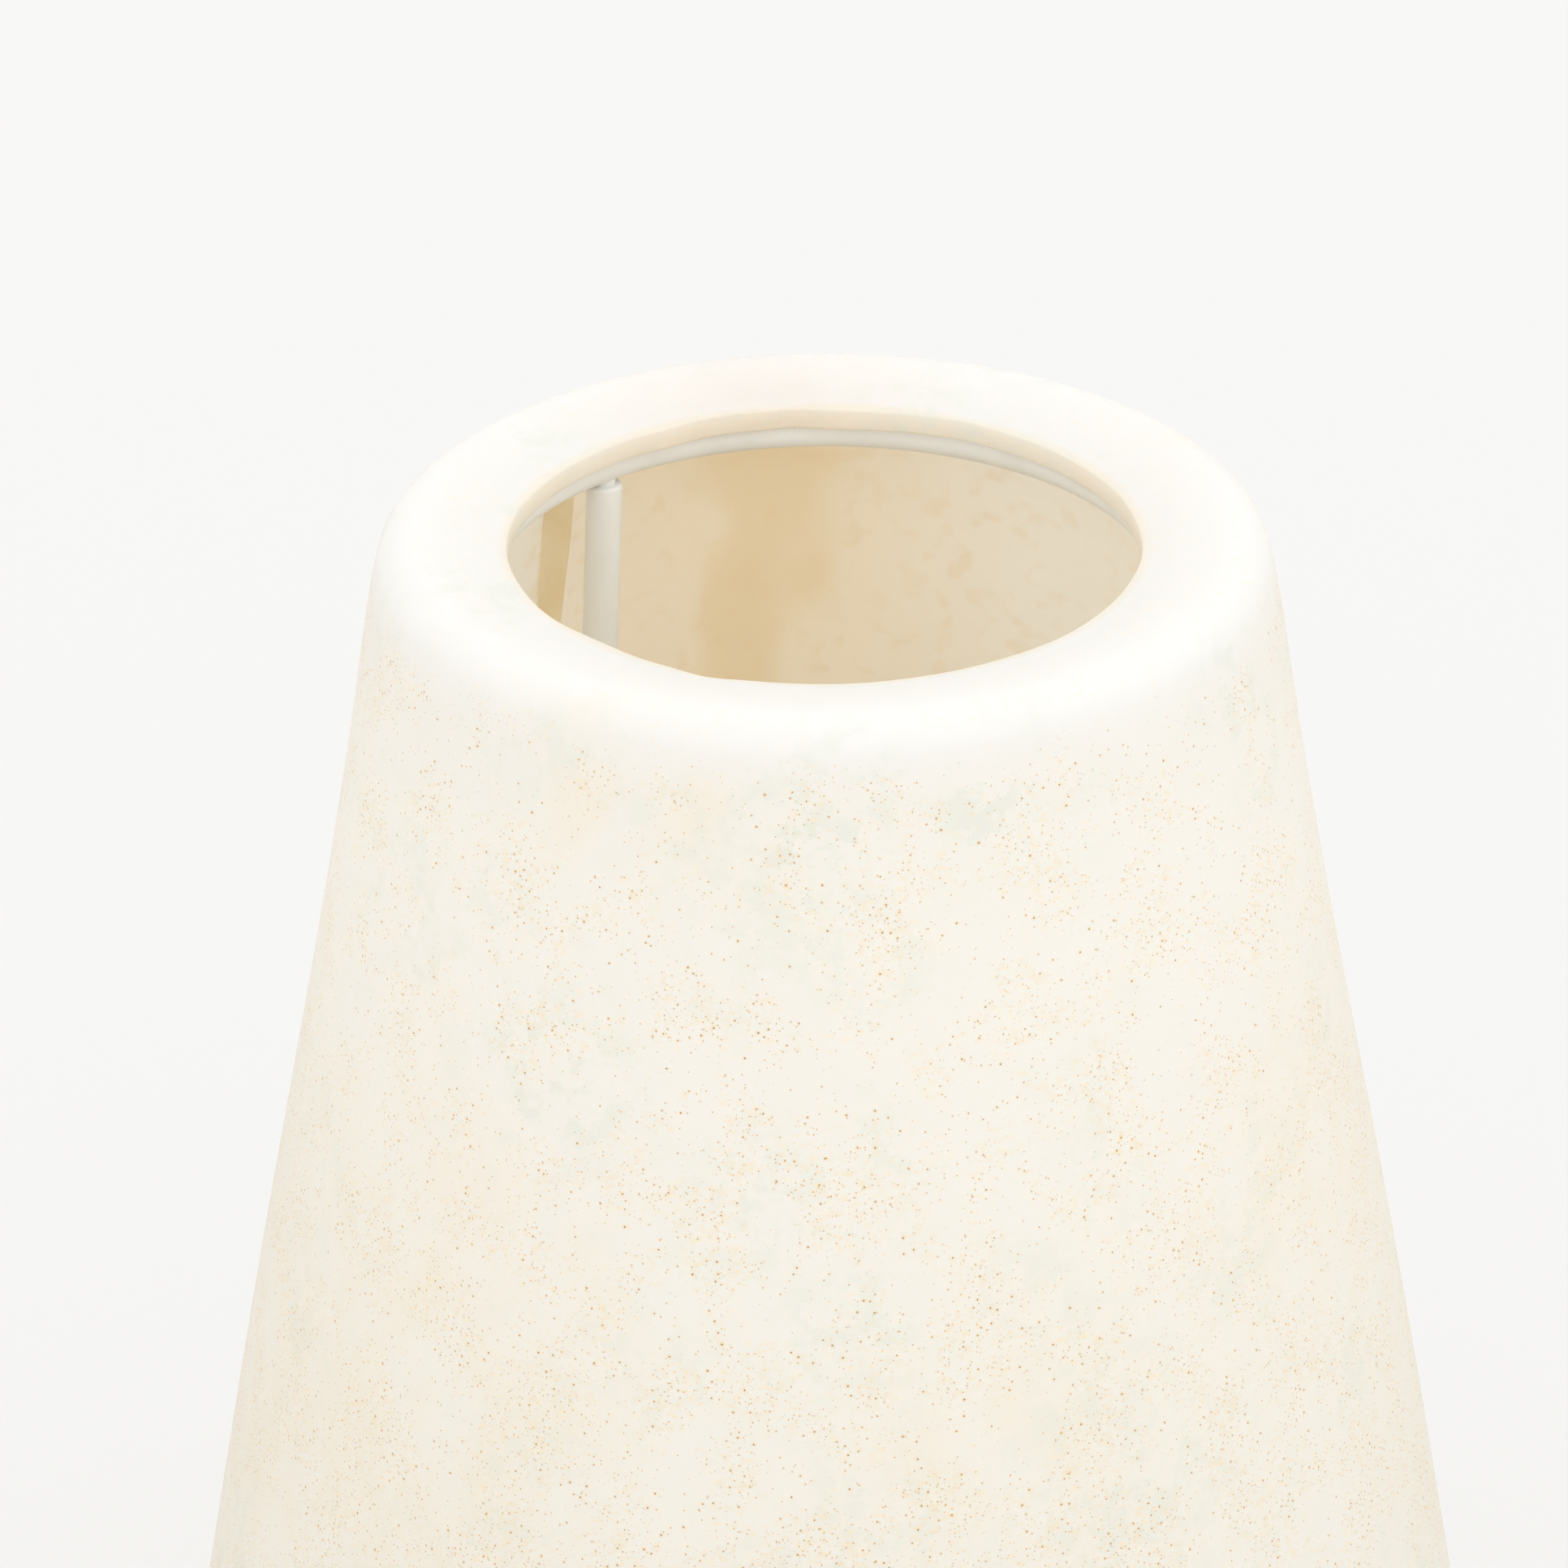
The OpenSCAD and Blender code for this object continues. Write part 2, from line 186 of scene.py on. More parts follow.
def fillet(corners: Array, radius: float, steps: int = 5) -> Array:
    """Rounds each corner of a closed outline.

    A corner becomes an arc that touches both edges, at a distance r * tan(turn / 2) from it, with
    one more point just outside each end of the arc, which keeps the flats flat when shaded smooth.

    Args:
        corners: Outline's corners, of shape (n, 2).
        radius: Radius of the arcs, made smaller where an edge is short.
        steps: Number of spans in each arc.

    Returns:
        The rounded outline, of shape (m, 2).
    """
    ahead = np.roll(corners, -1, axis=0) - corners
    length = np.linalg.norm(ahead, axis=1)
    ahead = ahead / length[:, None]
    behind = -np.roll(ahead, 1, axis=0)
    spare = 0.42 * np.minimum(length, np.roll(length, 1))
    half = np.arccos(np.clip((ahead * behind).sum(1), -1, 1)) / 2
    reach = np.minimum(radius / np.tan(np.maximum(half, 1e-3)), spare)
    t = np.linspace(0, 1, steps + 1)[None, :, None]
    start = corners + behind * reach[:, None]
    end = corners + ahead * reach[:, None]
    # A quadratic curve through the tangent points stands in for the arc, within 2% of it here.
    arc = ((1 - t) ** 2 * start[:, None] + 2 * t * (1 - t) * corners[:, None]
           + t ** 2 * end[:, None])
    before = corners + behind * (reach * 1.12)[:, None]
    after = corners + ahead * (reach * 1.12)[:, None]
    return np.concatenate([before[:, None], arc, after[:, None]], axis=1).reshape(-1, 2)


def sweep_round(loop: Array, columns: int) -> Array:
    """Carries an outline of (radius, height) points round the Z axis.

    Args:
        loop: Outline, of shape (n, 2).
        columns: Number of columns round the axis.

    Returns:
        Grid of points, of shape (n, columns, 3).
    """
    return polar(loop[:, :1], turns(columns), loop[:, 1:])


def tube_along(path: Array, radii: Array, sides: int) -> Array:
    """Carries a circle along a path and turns its frame with it.

    Each ring is centre + r (cos a * n + sin a * b), where n and b are square to the path's
    direction and n starts from a fixed reference.

    Args:
        path: Centre of each ring, of shape (n, 3).
        radii: Radius of each ring, of shape (n,).
        sides: Number of points in a ring.

    Returns:
        Grid of points, of shape (n, sides, 3).
    """
    ahead = np.gradient(path, axis=0)
    ahead /= np.linalg.norm(ahead, axis=1, keepdims=True)
    reference = np.array([0.0, 0.0, 1.0]) if abs(ahead[0, 2]) < 0.9 else np.array([1.0, 0.0, 0.0])
    normal = np.cross(ahead, reference)
    normal /= np.linalg.norm(normal, axis=1, keepdims=True)
    side = np.cross(ahead, normal)
    angle = turns(sides)
    ring = (np.cos(angle)[None, :, None] * normal[:, None]
            + np.sin(angle)[None, :, None] * side[:, None])
    return path[:, None] + radii[:, None, None] * ring


class Ends(Enum):
    """How a grid's first and last rows are finished."""

    JOINED = "joined"
    CAPPED = "capped"


@dataclass
class Surface:
    """A grid of points, closed round its columns, that becomes one mesh.

    Attributes:
        points: Grid, of shape (rows, columns, 3).
        ends: Whether the last row meets the first or both are closed by a cap.
        uv: Texture place of each corner, of shape (rows + 1, columns + 1, 2), or None.
        rows_material: Material index of the faces that start at each row, or None.
        sharp_angle: Turn between two faces past which their edge is shaded sharp.
        tint: Colour and share of stain of each point, of shape (rows, columns, 4), or None.
    """

    points: Array
    ends: Ends = Ends.JOINED
    uv: Array | None = None
    rows_material: Array | None = None
    sharp_angle: float = math.radians(40)
    tint: Array | None = None

    def quads(self) -> Array:
        """Returns the grid's faces as rows of four point numbers."""
        rows, columns = self.points.shape[:2]
        row_count = rows if self.ends is Ends.JOINED else rows - 1
        row, column = np.meshgrid(np.arange(row_count), np.arange(columns), indexing="ij")
        next_row, next_column = (row + 1) % rows, (column + 1) % columns
        return np.stack([row * columns + column, row * columns + next_column,
                         next_row * columns + next_column, next_row * columns + column],
                        axis=-1).reshape(-1, 4)

    def volume(self, quads: Array) -> float:
        """Returns the signed volume: a sum of tetrahedra from the origin.

        Each quad is two triangles, and each cap is a fan from its own middle.

        Args:
            quads: The grid's faces.

        Returns:
            The volume, positive where the faces look outwards.
        """
        a, b, c, d = (self.points.reshape(-1, 3)[quads[:, i]] for i in range(4))
        total = float((a * np.cross(b, c) + a * np.cross(c, d)).sum())
        if self.ends is Ends.CAPPED:
            for ring, sign in ((self.points[0], -1), (self.points[-1], 1)):
                fan = np.cross(ring, np.roll(ring, -1, axis=0))
                total += sign * float((ring.mean(axis=0) * fan).sum())
        return total / 6

    def build(self, name: str, materials: list[bpy.types.Material]) -> bpy.types.Object:
        """Makes the mesh object.

        Args:
            name: Name of the piece.
            materials: Materials, in the order that rows_material counts them.

        Returns:
            The new object, at the origin, with its place in its mesh.
        """
        rows, columns = self.points.shape[:2]
        quads = self.quads()
        ring = np.arange(columns)
        caps = [ring[::-1], (rows - 1) * columns + ring] if self.ends is Ends.CAPPED else []
        flipped = self.volume(quads) < 0
        if flipped:
            quads, caps = quads[:, ::-1], [cap[::-1] for cap in caps]
        mesh = bpy.data.meshes.new(name)
        mesh.from_pydata(self.points.reshape(-1, 3).tolist(), [],
                         quads.tolist() + [cap.tolist() for cap in caps])
        for material in materials:
            mesh.materials.append(material)
        if self.rows_material is not None:
            index = np.zeros(len(mesh.polygons), dtype=np.int32)
            index[:len(quads)] = np.repeat(self.rows_material[:len(quads) // columns], columns)
            mesh.polygons.foreach_set("material_index", index)
        if self.uv is not None:
            self._write_uv(mesh, len(quads), flipped)
        if self.tint is not None:
            layer = mesh.color_attributes.new("tint", "FLOAT_COLOR", "POINT")
            layer.data.foreach_set("color", self.tint.astype(np.float32).ravel())
        shade(mesh, self.sharp_angle)
        return link(name, mesh)

    def _write_uv(self, mesh: bpy.types.Mesh, quad_count: int, flipped: bool) -> None:
        """Writes each face corner's texture place.

        Args:
            mesh: The mesh, whose first faces are the grid's quads.
            quad_count: Number of those quads.
            flipped: Whether each quad's corners run backwards.
        """
        columns = self.points.shape[1]
        row, column = np.divmod(np.arange(quad_count), columns)
        corner = np.stack([self.uv[row, column], self.uv[row, column + 1],
                           self.uv[row + 1, column + 1], self.uv[row + 1, column]], axis=1)
        if flipped:
            corner = corner[:, ::-1]
        values = np.zeros((len(mesh.loops), 2))
        values[:quad_count * 4] = corner.reshape(-1, 2)
        mesh.uv_layers.new(name="skin").data.foreach_set("uv", values.ravel())


def link(name: str, mesh: bpy.types.Mesh) -> bpy.types.Object:
    """Returns a new object of the scene that holds a mesh."""
    piece = bpy.data.objects.new(name, mesh)
    bpy.context.scene.collection.objects.link(piece)
    return piece


def turned(corners: list[list[float]], round_off: float, columns: int, steps: int = 5) -> Surface:
    """Returns a turned part: an outline with rounded corners, carried round the Z axis.

    Args:
        corners: Corners of the outline, as radius and height, in millimetres.
        round_off: Radius of the rounded corners, in millimetres.
        columns: Number of columns round the axis.
        steps: Number of spans in each rounded corner.

    Returns:
        The part's surface.
    """
    return Surface(sweep_round(fillet(np.array(corners) * MM, round_off * MM, steps), columns))


def pressed(loop: Array, depth: Array) -> Surface:
    """Returns a turned part whose wall is pressed in towards the axis.

    Args:
        loop: Outline of radius and height, of shape (n, 2).
        depth: How far each point moves in, of shape (n, columns).

    Returns:
        The part's surface.
    """
    return Surface(polar(loop[:, :1] - depth, turns(depth.shape[1]), loop[:, 1:]))


def shade(mesh: bpy.types.Mesh, sharp_angle: float) -> None:
    """Shades a mesh smooth, except over edges that turn by more than an angle.

    Args:
        mesh: The mesh to shade.
        sharp_angle: The angle, in radians.
    """
    mesh.update(calc_edges=True)
    mesh.polygons.foreach_set("use_smooth", np.ones(len(mesh.polygons), dtype=bool))
    mesh.set_sharp_from_angle(angle=sharp_angle)


def merge(name: str, surfaces: list[Surface], materials: list[bpy.types.Material]
          ) -> bpy.types.Object:
    """Makes one object of several closed surfaces.

    Args:
        name: Name of the piece.
        surfaces: Its surfaces.
        materials: Materials of the piece.

    Returns:
        The new object.
    """
    points, faces, offset = [], [], 0
    for i, surface in enumerate(surfaces):
        part = surface.build(f"{name}_{i}", materials)
        mesh = part.data
        flat = np.empty(len(mesh.vertices) * 3)
        mesh.vertices.foreach_get("co", flat)
        points.append(flat.reshape(-1, 3))
        faces += [[offset + v for v in polygon.vertices] for polygon in mesh.polygons]
        offset += len(mesh.vertices)
        bpy.data.objects.remove(part)
        bpy.data.meshes.remove(mesh)
    whole = bpy.data.meshes.new(name)
    whole.from_pydata(np.concatenate(points).tolist(), [], faces)
    for material in materials:
        whole.materials.append(material)
    shade(whole, surfaces[0].sharp_angle)
    return link(name, whole)


def attach(piece: bpy.types.Object, body: Body, slot: Slot, *replaced: str) -> bpy.types.Object:
    """Puts a finished piece on its body.

    Args:
        piece: The piece.
        body: CAD body that it rides on.
        slot: Record slot of its finish; not used.
        *replaced: CAD nodes that it stands for.

    Returns:
        The same piece.
    """
    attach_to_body(piece, body.value)
    if replaced:
        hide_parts(*replaced)
    log.info("%s: %d faces on %s", piece.name, len(piece.data.polygons), body.value)
    return piece


def add(surface: Surface, name: str, material: bpy.types.Material, body: Body, slot: Slot,
        *replaced: str) -> bpy.types.Object:
    """Makes a piece of one surface in one material and puts it on its body.

    Args:
        surface: Its surface.
        name: Name of the piece.
        material: Its material.
        body: CAD body that it rides on.
        slot: Record slot of its finish.
        *replaced: CAD nodes that it stands for.

    Returns:
        The new piece.
    """
    return attach(surface.build(name, [material]), body, slot, *replaced)


def dress(node: str, material: bpy.types.Material) -> None:
    """Gives a CAD node that stays in view its finished material.

    Args:
        node: Name of the CAD node.
        material: The material.
    """
    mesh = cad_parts[node].data
    mesh.materials.clear()
    mesh.materials.append(material)
    log.info("%s: CAD solid, dressed in %s", node, material.name)


# --- Node trees ---------------------------------------------------------------


@dataclass
class Graph:
    """A short way to write a material's node tree.

    Attributes:
        material: The material that the nodes belong to.
    """

    material: bpy.types.Material

    @classmethod
    def new(cls, name: str) -> "Graph":
        """Starts a material with no nodes but its output."""
        material = bpy.data.materials.new(name)
        material.use_nodes = True
        material.node_tree.nodes.clear()
        graph = cls(material)
        graph.node("ShaderNodeOutputMaterial")
        return graph

    def node(self, kind: str, **settings: object) -> bpy.types.Node:
        """Adds a node and sets its own properties."""
        made = self.material.node_tree.nodes.new(kind)
        for key, value in settings.items():
            setattr(made, key, value)
        return made

    def feed(self, target: bpy.types.NodeSocket, value: object) -> None:
        """Links a socket to another, or gives it a constant."""
        if isinstance(value, bpy.types.NodeSocket):
            self.material.node_tree.links.new(value, target)
        elif isinstance(value, tuple) and len(value) == 3 and target.type == "RGBA":
            target.default_value = (*value, 1.0)
        else:
            target.default_value = value

    def math(self, operation: str, a: object, b: object = 0.0, c: object = 0.0
             ) -> bpy.types.NodeSocket:
        """Returns the result of one Math node."""
        made = self.node("ShaderNodeMath", operation=operation)
        for target, value in zip(made.inputs, (a, b, c)):
            self.feed(target, value)
        return made.outputs[0]

    def ramp(self, value: object, low: float, high: float, out_low: float = 0.0,
             out_high: float = 1.0) -> bpy.types.NodeSocket:
        """Returns value mapped smoothly from low..high to out_low..out_high."""
        made = self.node("ShaderNodeMapRange", interpolation_type="SMOOTHSTEP")
        for target, given in zip(made.inputs, (value, low, high, out_low, out_high)):
            self.feed(target, given)
        return made.outputs[0]

    def mix(self, share: object, a: object, b: object, blend: str = "MIX"
            ) -> bpy.types.NodeSocket:
        """Returns two colours mixed by a share."""
        made = self.node("ShaderNodeMix", data_type="RGBA", blend_type=blend)
        for socket, value in ((0, share), (6, a), (7, b)):
            self.feed(made.inputs[socket], value)
        return made.outputs[2]

    def noise(self, place: bpy.types.NodeSocket, size: float, detail: float = 3.0,
              roughness: float = 0.5, distortion: float = 0.0, dimensions: str = "3D"
              ) -> bpy.types.NodeSocket:
        """Returns fractal noise from 0 to 1 whose largest features measure size metres."""
        made = self.node("ShaderNodeTexNoise", noise_dimensions=dimensions)
        for key, value in (("Vector", place), ("Scale", 1 / size), ("Detail", detail),
                           ("Roughness", roughness), ("Distortion", distortion)):
            self.feed(made.inputs[key], value)
        return made.outputs["Fac"]

    def stretched(self, place: bpy.types.NodeSocket, scale: tuple[float, float, float]
                  ) -> bpy.types.NodeSocket:
        """Returns a place scaled along each axis, which stretches what is drawn over it."""
        made = self.node("ShaderNodeMapping")
        self.feed(made.inputs["Vector"], place)
        made.inputs["Scale"].default_value = scale
        return made.outputs[0]

    def tint(self) -> tuple[bpy.types.NodeSocket, bpy.types.NodeSocket]:
        """Returns the piece's own colours and share of stain."""
        made = self.node("ShaderNodeVertexColor", layer_name="tint")
        return made.outputs["Color"], made.outputs["Alpha"]

    def object_place(self) -> bpy.types.NodeSocket:
        """Returns the Object coordinates."""
        return self.node("ShaderNodeTexCoord").outputs["Object"]

    def finish(self, surface: bpy.types.NodeSocket) -> bpy.types.Material:
        """Links the surface shader to the output and returns the material."""
        output = next(n for n in self.material.node_tree.nodes if n.type == "OUTPUT_MATERIAL")
        self.feed(output.inputs["Surface"], surface)
        return self.material

    def principled(self, **inputs: object) -> bpy.types.Node:
        """Adds a Principled shader and feeds the inputs named with _ for spaces."""
        made = self.node("ShaderNodeBsdfPrincipled")
        for key, value in inputs.items():
            self.feed(made.inputs[key.replace("_", " ")], value)
        return made

    def bump(self, height: object, distance: float, strength: float = 1.0
             ) -> bpy.types.NodeSocket:
        """Returns a normal from a height pattern.

        Args:
            height: The pattern, from 0 to 1.
            distance: Height of the pattern's full step, in metres.
            strength: Share of the effect.

        Returns:
            The normal.
        """
        made = self.node("ShaderNodeBump")
        for key, value in (("Strength", strength), ("Distance", distance), ("Height", height)):
            self.feed(made.inputs[key], value)
        return made.outputs[0]


def translucent_mix(g: Graph, shader: bpy.types.NodeSocket, glow: object, share: float
                    ) -> bpy.types.Material:
    """Finishes a thin layer that lets a share of the light through.

    Args:
        g: The layer's node tree.
        shader: Its surface shader.
        glow: Colour that the light takes on its way through.
        share: Share of the light that goes through.

    Returns:
        The finished material.
    """
    through = g.node("ShaderNodeBsdfTranslucent")
    g.feed(through.inputs["Color"], glow)
    both = g.node("ShaderNodeMixShader")
    for target, value in zip(both.inputs, (share, shader, through.outputs[0])):
        g.feed(target, value)
    return g.finish(both.outputs[0])


# --- Finishes -----------------------------------------------------------------


@dataclass(frozen=True)
class Cloud:
    """A soft stain on the skin.

    Attributes:
        azimuth: Direction from the axis, in degrees.
        drop: Depth under the shell's top.
        size: Distance at which it has faded out.
        strength: Share of its colour at its middle.
        green: Whether it is grey-green rather than peach.
    """

    azimuth: float
    drop: float
    size: float
    strength: float
    green: bool = True


@dataclass(frozen=True)
class ParchmentFinish:
    """Goatskin parchment: a creamy, slightly see-through ground with hair pores and faint stains.

    Attributes:
        crown: Colour painted on the top alone, cooler and greyer than the wall's ground: painted
            light for the cool light on the top, which also offsets the warm glow through it.
        high_ground: Colour of the ground high on the wall; lower down it turns darker and warmer.
        warm: Colour of the ground lower down.
        edge: Colour of the turned-down edge in the hole: painted shade, darker and warmer than the
            top.
        green: Colour of the grey-green stains.
        peach: Colour of the peach stains.
        pore: Colour of the darkest pores.
        halo: Colour round the pores.
        glow: Colour that light takes on its way through.
        through: Share of the light that goes through.
        pore_pitch: Mean distance between pores.
        pore_radius: Radius of a large pore.
    """

    crown: Colour = (0.955, 0.966, 0.985)
    high_ground: Colour = (0.975, 0.98, 0.975)
    warm: Colour = (0.962, 0.96, 0.926)
    edge: Colour = (0.95, 0.91, 0.83)
    green: Colour = (0.85, 0.905, 0.865)
    peach: Colour = (0.972, 0.888, 0.72)
    pore: Colour = (0.24, 0.12, 0.05)
    halo: Colour = (0.95, 0.70, 0.35)
    glow: Colour = (1.0, 0.975, 0.94)
    through: float = 0.5
    pore_pitch: float = 1.5 * MM
    pore_radius: float = 0.15 * MM

    def tint(self, points: Array, top: float, hole: float, clouds: tuple[Cloud, ...],
             taper: float, wall_radius: float) -> Array:
        """Returns the ground colour of each point and its share of grey-green stain.

        The ground warms with depth and with two soft fields, and each stain is a bell of the
        distance from its middle, broken up by a finer field.

        Args:
            points: Grid of points.
            top: Height of the shell's top.
            hole: Radius of the hole.
            clouds: The stains.
            taper: Outward run of the wall for each metre down.
            wall_radius: Radius of the wall at the top.

        Returns:
            Red, green, blue and share of stain of each point.
        """
        drop = top - points[..., 2]
        broad = soft_field(points, 0.085, 3)
        middle = soft_field(points, 0.03, 5)
        fine = soft_field(points, 0.011, 8)
        warm = np.clip(0.5 * smoothstep(drop, 0.02, 0.17) + (0.3 * broad + 0.25 * middle * fine)
                       * smoothstep(drop, 0.0, 0.03), 0, 1)[..., None]
        colour = (1 - warm) * np.array(self.high_ground) + warm * np.array(self.warm)
        # Painted light: the top alone is tinted cooler and greyer for how the light falls on it.
        crown = 0.85 * smoothstep(-drop, -0.012, -0.003)[..., None]
        colour = colour + crown * (np.array(self.crown) - colour)
        grey = 0.35 * smoothstep(middle, 0.45, 0.9)
        for cloud in clouds:
            angle = math.radians(cloud.azimuth)
            radius = wall_radius + taper * cloud.drop
            spot = np.array([radius * math.cos(angle), radius * math.sin(angle),
                             top - cloud.drop])
            away = np.linalg.norm(points - spot, axis=-1) / cloud.size
            share = cloud.strength * np.exp(-2.2 * away ** 2)
            if cloud.green:
                grey = np.maximum(grey, share)
            else:
                share = 0.4 * share * smoothstep(0.6 * fine + 0.4 * middle, 0.2, 0.7)
                colour = colour + share[..., None] * (np.array(self.peach) - colour)
        # Painted shade: the lip turned down into the hole is tinted darker and warmer.
        radius = np.hypot(points[..., 0], points[..., 1])
        lip = smoothstep(-radius, -hole - 2.2 * MM, -hole - 0.4 * MM) * (drop > 1 * MM)
        colour = colour + lip[..., None] * (np.array(self.edge) - colour)
        return np.concatenate([colour, grey[..., None]], axis=-1)

    def build(self, top: float) -> bpy.types.Material:
        """Makes the material.

        The pores crowd together by broad noise on the unrolled skin, more so further down.

        Args:
            top: Height of the shell's top.

        Returns:
            The material.
        """
        g = Graph.new("goatskin_parchment")
        place = g.object_place()
        flat = g.node("ShaderNodeUVMap", uv_map="skin").outputs[0]
        height = g.node("ShaderNodeSeparateXYZ")
        g.feed(height.inputs[0], place)
        drop = g.math("SUBTRACT", top, height.outputs["Z"])
        mottle = g.noise(place, 0.0055, 4.0, 0.7)
        grain = g.noise(place, 0.0013, 2.0, 0.6)
        crowd = g.math("ADD", g.noise(flat, 0.014, 2.5, 0.6, dimensions="2D"),
                       g.math("MULTIPLY", g.ramp(drop, 0.02, 0.16), 0.08))
        ground, grey = g.tint()
        cloudy = g.math("MULTIPLY", g.ramp(mottle, 0.43, 0.62), g.math("ADD", grey, 0.14))
        ground = g.mix(g.math("MULTIPLY", cloudy, 0.85), ground, self.green)
        haze = g.math("MULTIPLY", g.ramp(grain, 0.46, 0.72), g.ramp(crowd, 0.42, 0.68, 0.06, 0.7))
        haze = g.math("MULTIPLY", haze, g.ramp(drop, 0.003, 0.014, 0.3, 1.0))
        ground = g.mix(haze, ground, self.peach)
        ground = self._pores(g, ground, flat, crowd, g.ramp(drop, 0.003, 0.012))
        shader = g.principled(
            Base_Color=ground, Roughness=g.ramp(mottle, 0.3, 0.7, 0.42, 0.56),
            Specular_IOR_Level=0.35, Normal=g.bump(g.noise(place, 0.0035, 2.0), 0.00022, 0.4))
        glow = g.mix(1.0, ground, self.glow, "MULTIPLY")
        return translucent_mix(g, shader.outputs[0], glow, self.through)

    def _pores(self, g: Graph, ground: bpy.types.NodeSocket, flat: bpy.types.NodeSocket,
               crowd: bpy.types.NodeSocket, wall_only: bpy.types.NodeSocket
               ) -> bpy.types.NodeSocket:
        """Adds two sizes of hair pores with halos.

        A pore sits at each Voronoi cell's middle where the cell's own random number is under a
        share that follows the crowding, so pores come in clusters.

        Args:
            g: The node tree.
            ground: Ground colour.
            flat: Place on the unrolled skin.
            crowd: How crowded the pores are.
            wall_only: 0 on the top and 1 on the wall.

        Returns:
            The new ground colour.
        """
        for scale, most, dark, halo in ((0.85, 0.72, 1.0, 0.65), (0.6, 0.64, 0.8, 0.45)):
            cell = g.node("ShaderNodeTexVoronoi", voronoi_dimensions="2D")
            g.feed(cell.inputs["Vector"], flat)
            g.feed(cell.inputs["Scale"], 1 / (self.pore_pitch * scale))
            g.feed(cell.inputs["Randomness"], 0.9)
            lot = g.node("ShaderNodeSeparateColor")
            g.feed(lot.inputs[0], cell.outputs["Color"])
            share = g.ramp(crowd, 0.41, 0.73, 0.09, most)
            there = g.math("MULTIPLY", g.math("LESS_THAN", lot.outputs[0], share), wall_only)
            radius = self.pore_radius / self.pore_pitch
            size = g.ramp(lot.outputs[1], 0.3, 1.0, 0.62 * radius, 1.12 * radius)
            edge = g.math("DIVIDE", cell.outputs["Distance"], size)
            ring = g.math("MULTIPLY", g.ramp(edge, 3.4, 0.8), there)
            strong = g.math("MULTIPLY", ring, g.ramp(lot.outputs[2], 0.2, 1.0, 0.1 * halo, halo))
            ground = g.mix(strong, ground, self.halo)
            dot = g.math("MULTIPLY", g.ramp(edge, 1.1, 0.6), there)
            deep = g.math("MULTIPLY", dot, g.ramp(lot.outputs[2], 0.1, 0.9, 0.2 * dark, dark))
            ground = g.mix(deep, ground, self.pore)
        return ground


@dataclass(frozen=True)
class GlueFinish:
    """Clear glue between two layers: light goes straight on through it.

    Attributes:
        colour: Colour of the glue.
    """

    colour: Colour = (1.0, 0.98, 0.94)

    def build(self) -> bpy.types.Material:
        """Makes the material."""
        g = Graph.new("clear_glue")
        return g.finish(g.principled(Base_Color=self.colour, Alpha=0.0).outputs[0])


@dataclass(frozen=True)
class LaminateFinish:
    """Inner face of the former: warm tan, mottled, with painted shade that deepens towards the back
    and a darker band there.

    Attributes:
        light: Colour where the painted shade is weakest.
        dark: Colour where the painted shade is deepest.
        band: Colour of the darker band at the back.
        spot: Colour of the brown mottles.
        through: Share of the light that goes through.
        dark_azimuth: Direction of the darkest place from the axis, in degrees.
    """

    light: Colour = (1.0, 0.945, 0.845)
    dark: Colour = (0.99, 0.87, 0.69)
    band: Colour = (0.93, 0.775, 0.535)
    spot: Colour = (0.93, 0.75, 0.50)
    through: float = 0.5
    dark_azimuth: float = 100.5

    def tint(self, points: Array) -> Array:
        """Returns the ground colour of each point.

        It darkens smoothly towards the back, more slowly on one side than on the other, as painted
        shade where less light comes through the wall, and a darker band there has edges that wander
        with a soft field.

        Args:
            points: Grid of points.

        Returns:
            Red, green, blue and a share of stain, always 1, of each point.
        """
        angle = np.degrees(np.arctan2(points[..., 1], points[..., 0]))
        side = (self.dark_azimuth - angle + 180) % 360 - 180
        off = np.abs(side)
        wander = (9 * (soft_field(points, 0.04, 11) - 0.5)
                  + 7 * (soft_field(points, 0.013, 12) - 0.5))
        # Painted shade: the face darkens towards the back and stays lighter to the sides, where more
        # light comes through; a soft field adds uneven tone on top.
        away = np.where(side > 0, smoothstep(off, 4, 42), smoothstep(off, 14, 38))
        thin = np.clip(0.9 * away + 0.3 * (soft_field(points, 0.05, 13) - 0.4), 0, 1)[..., None]
        colour = (1 - thin) * np.array(self.dark) + thin * np.array(self.light)
        band = 0.85 * (1 - smoothstep(off + wander, 1.5, 10.5))[..., None]
        colour = colour + band * (np.array(self.band) - colour)
        return np.concatenate([colour, np.ones_like(band)], axis=-1)

    def build(self) -> bpy.types.Material:
        """Makes the material."""
        g = Graph.new("former_laminate")
        place = g.object_place()
        mottle = g.noise(place, 0.0036, 1.0, 0.45)
        broad = g.ramp(g.noise(place, 0.012, 2.0, 0.5), 0.35, 0.65, 0.16, 0.38)
        ground = g.mix(g.math("MULTIPLY", g.ramp(mottle, 0.5, 0.74), broad), g.tint()[0],
                       self.spot)
        shader = g.principled(
            Base_Color=ground, Roughness=g.ramp(mottle, 0.3, 0.7, 0.5, 0.62),
            Specular_IOR_Level=0.3,
            Normal=g.bump(g.noise(place, 0.003, 1.0), 0.0002, 0.35))
        return translucent_mix(g, shader.outputs[0], ground, self.through)


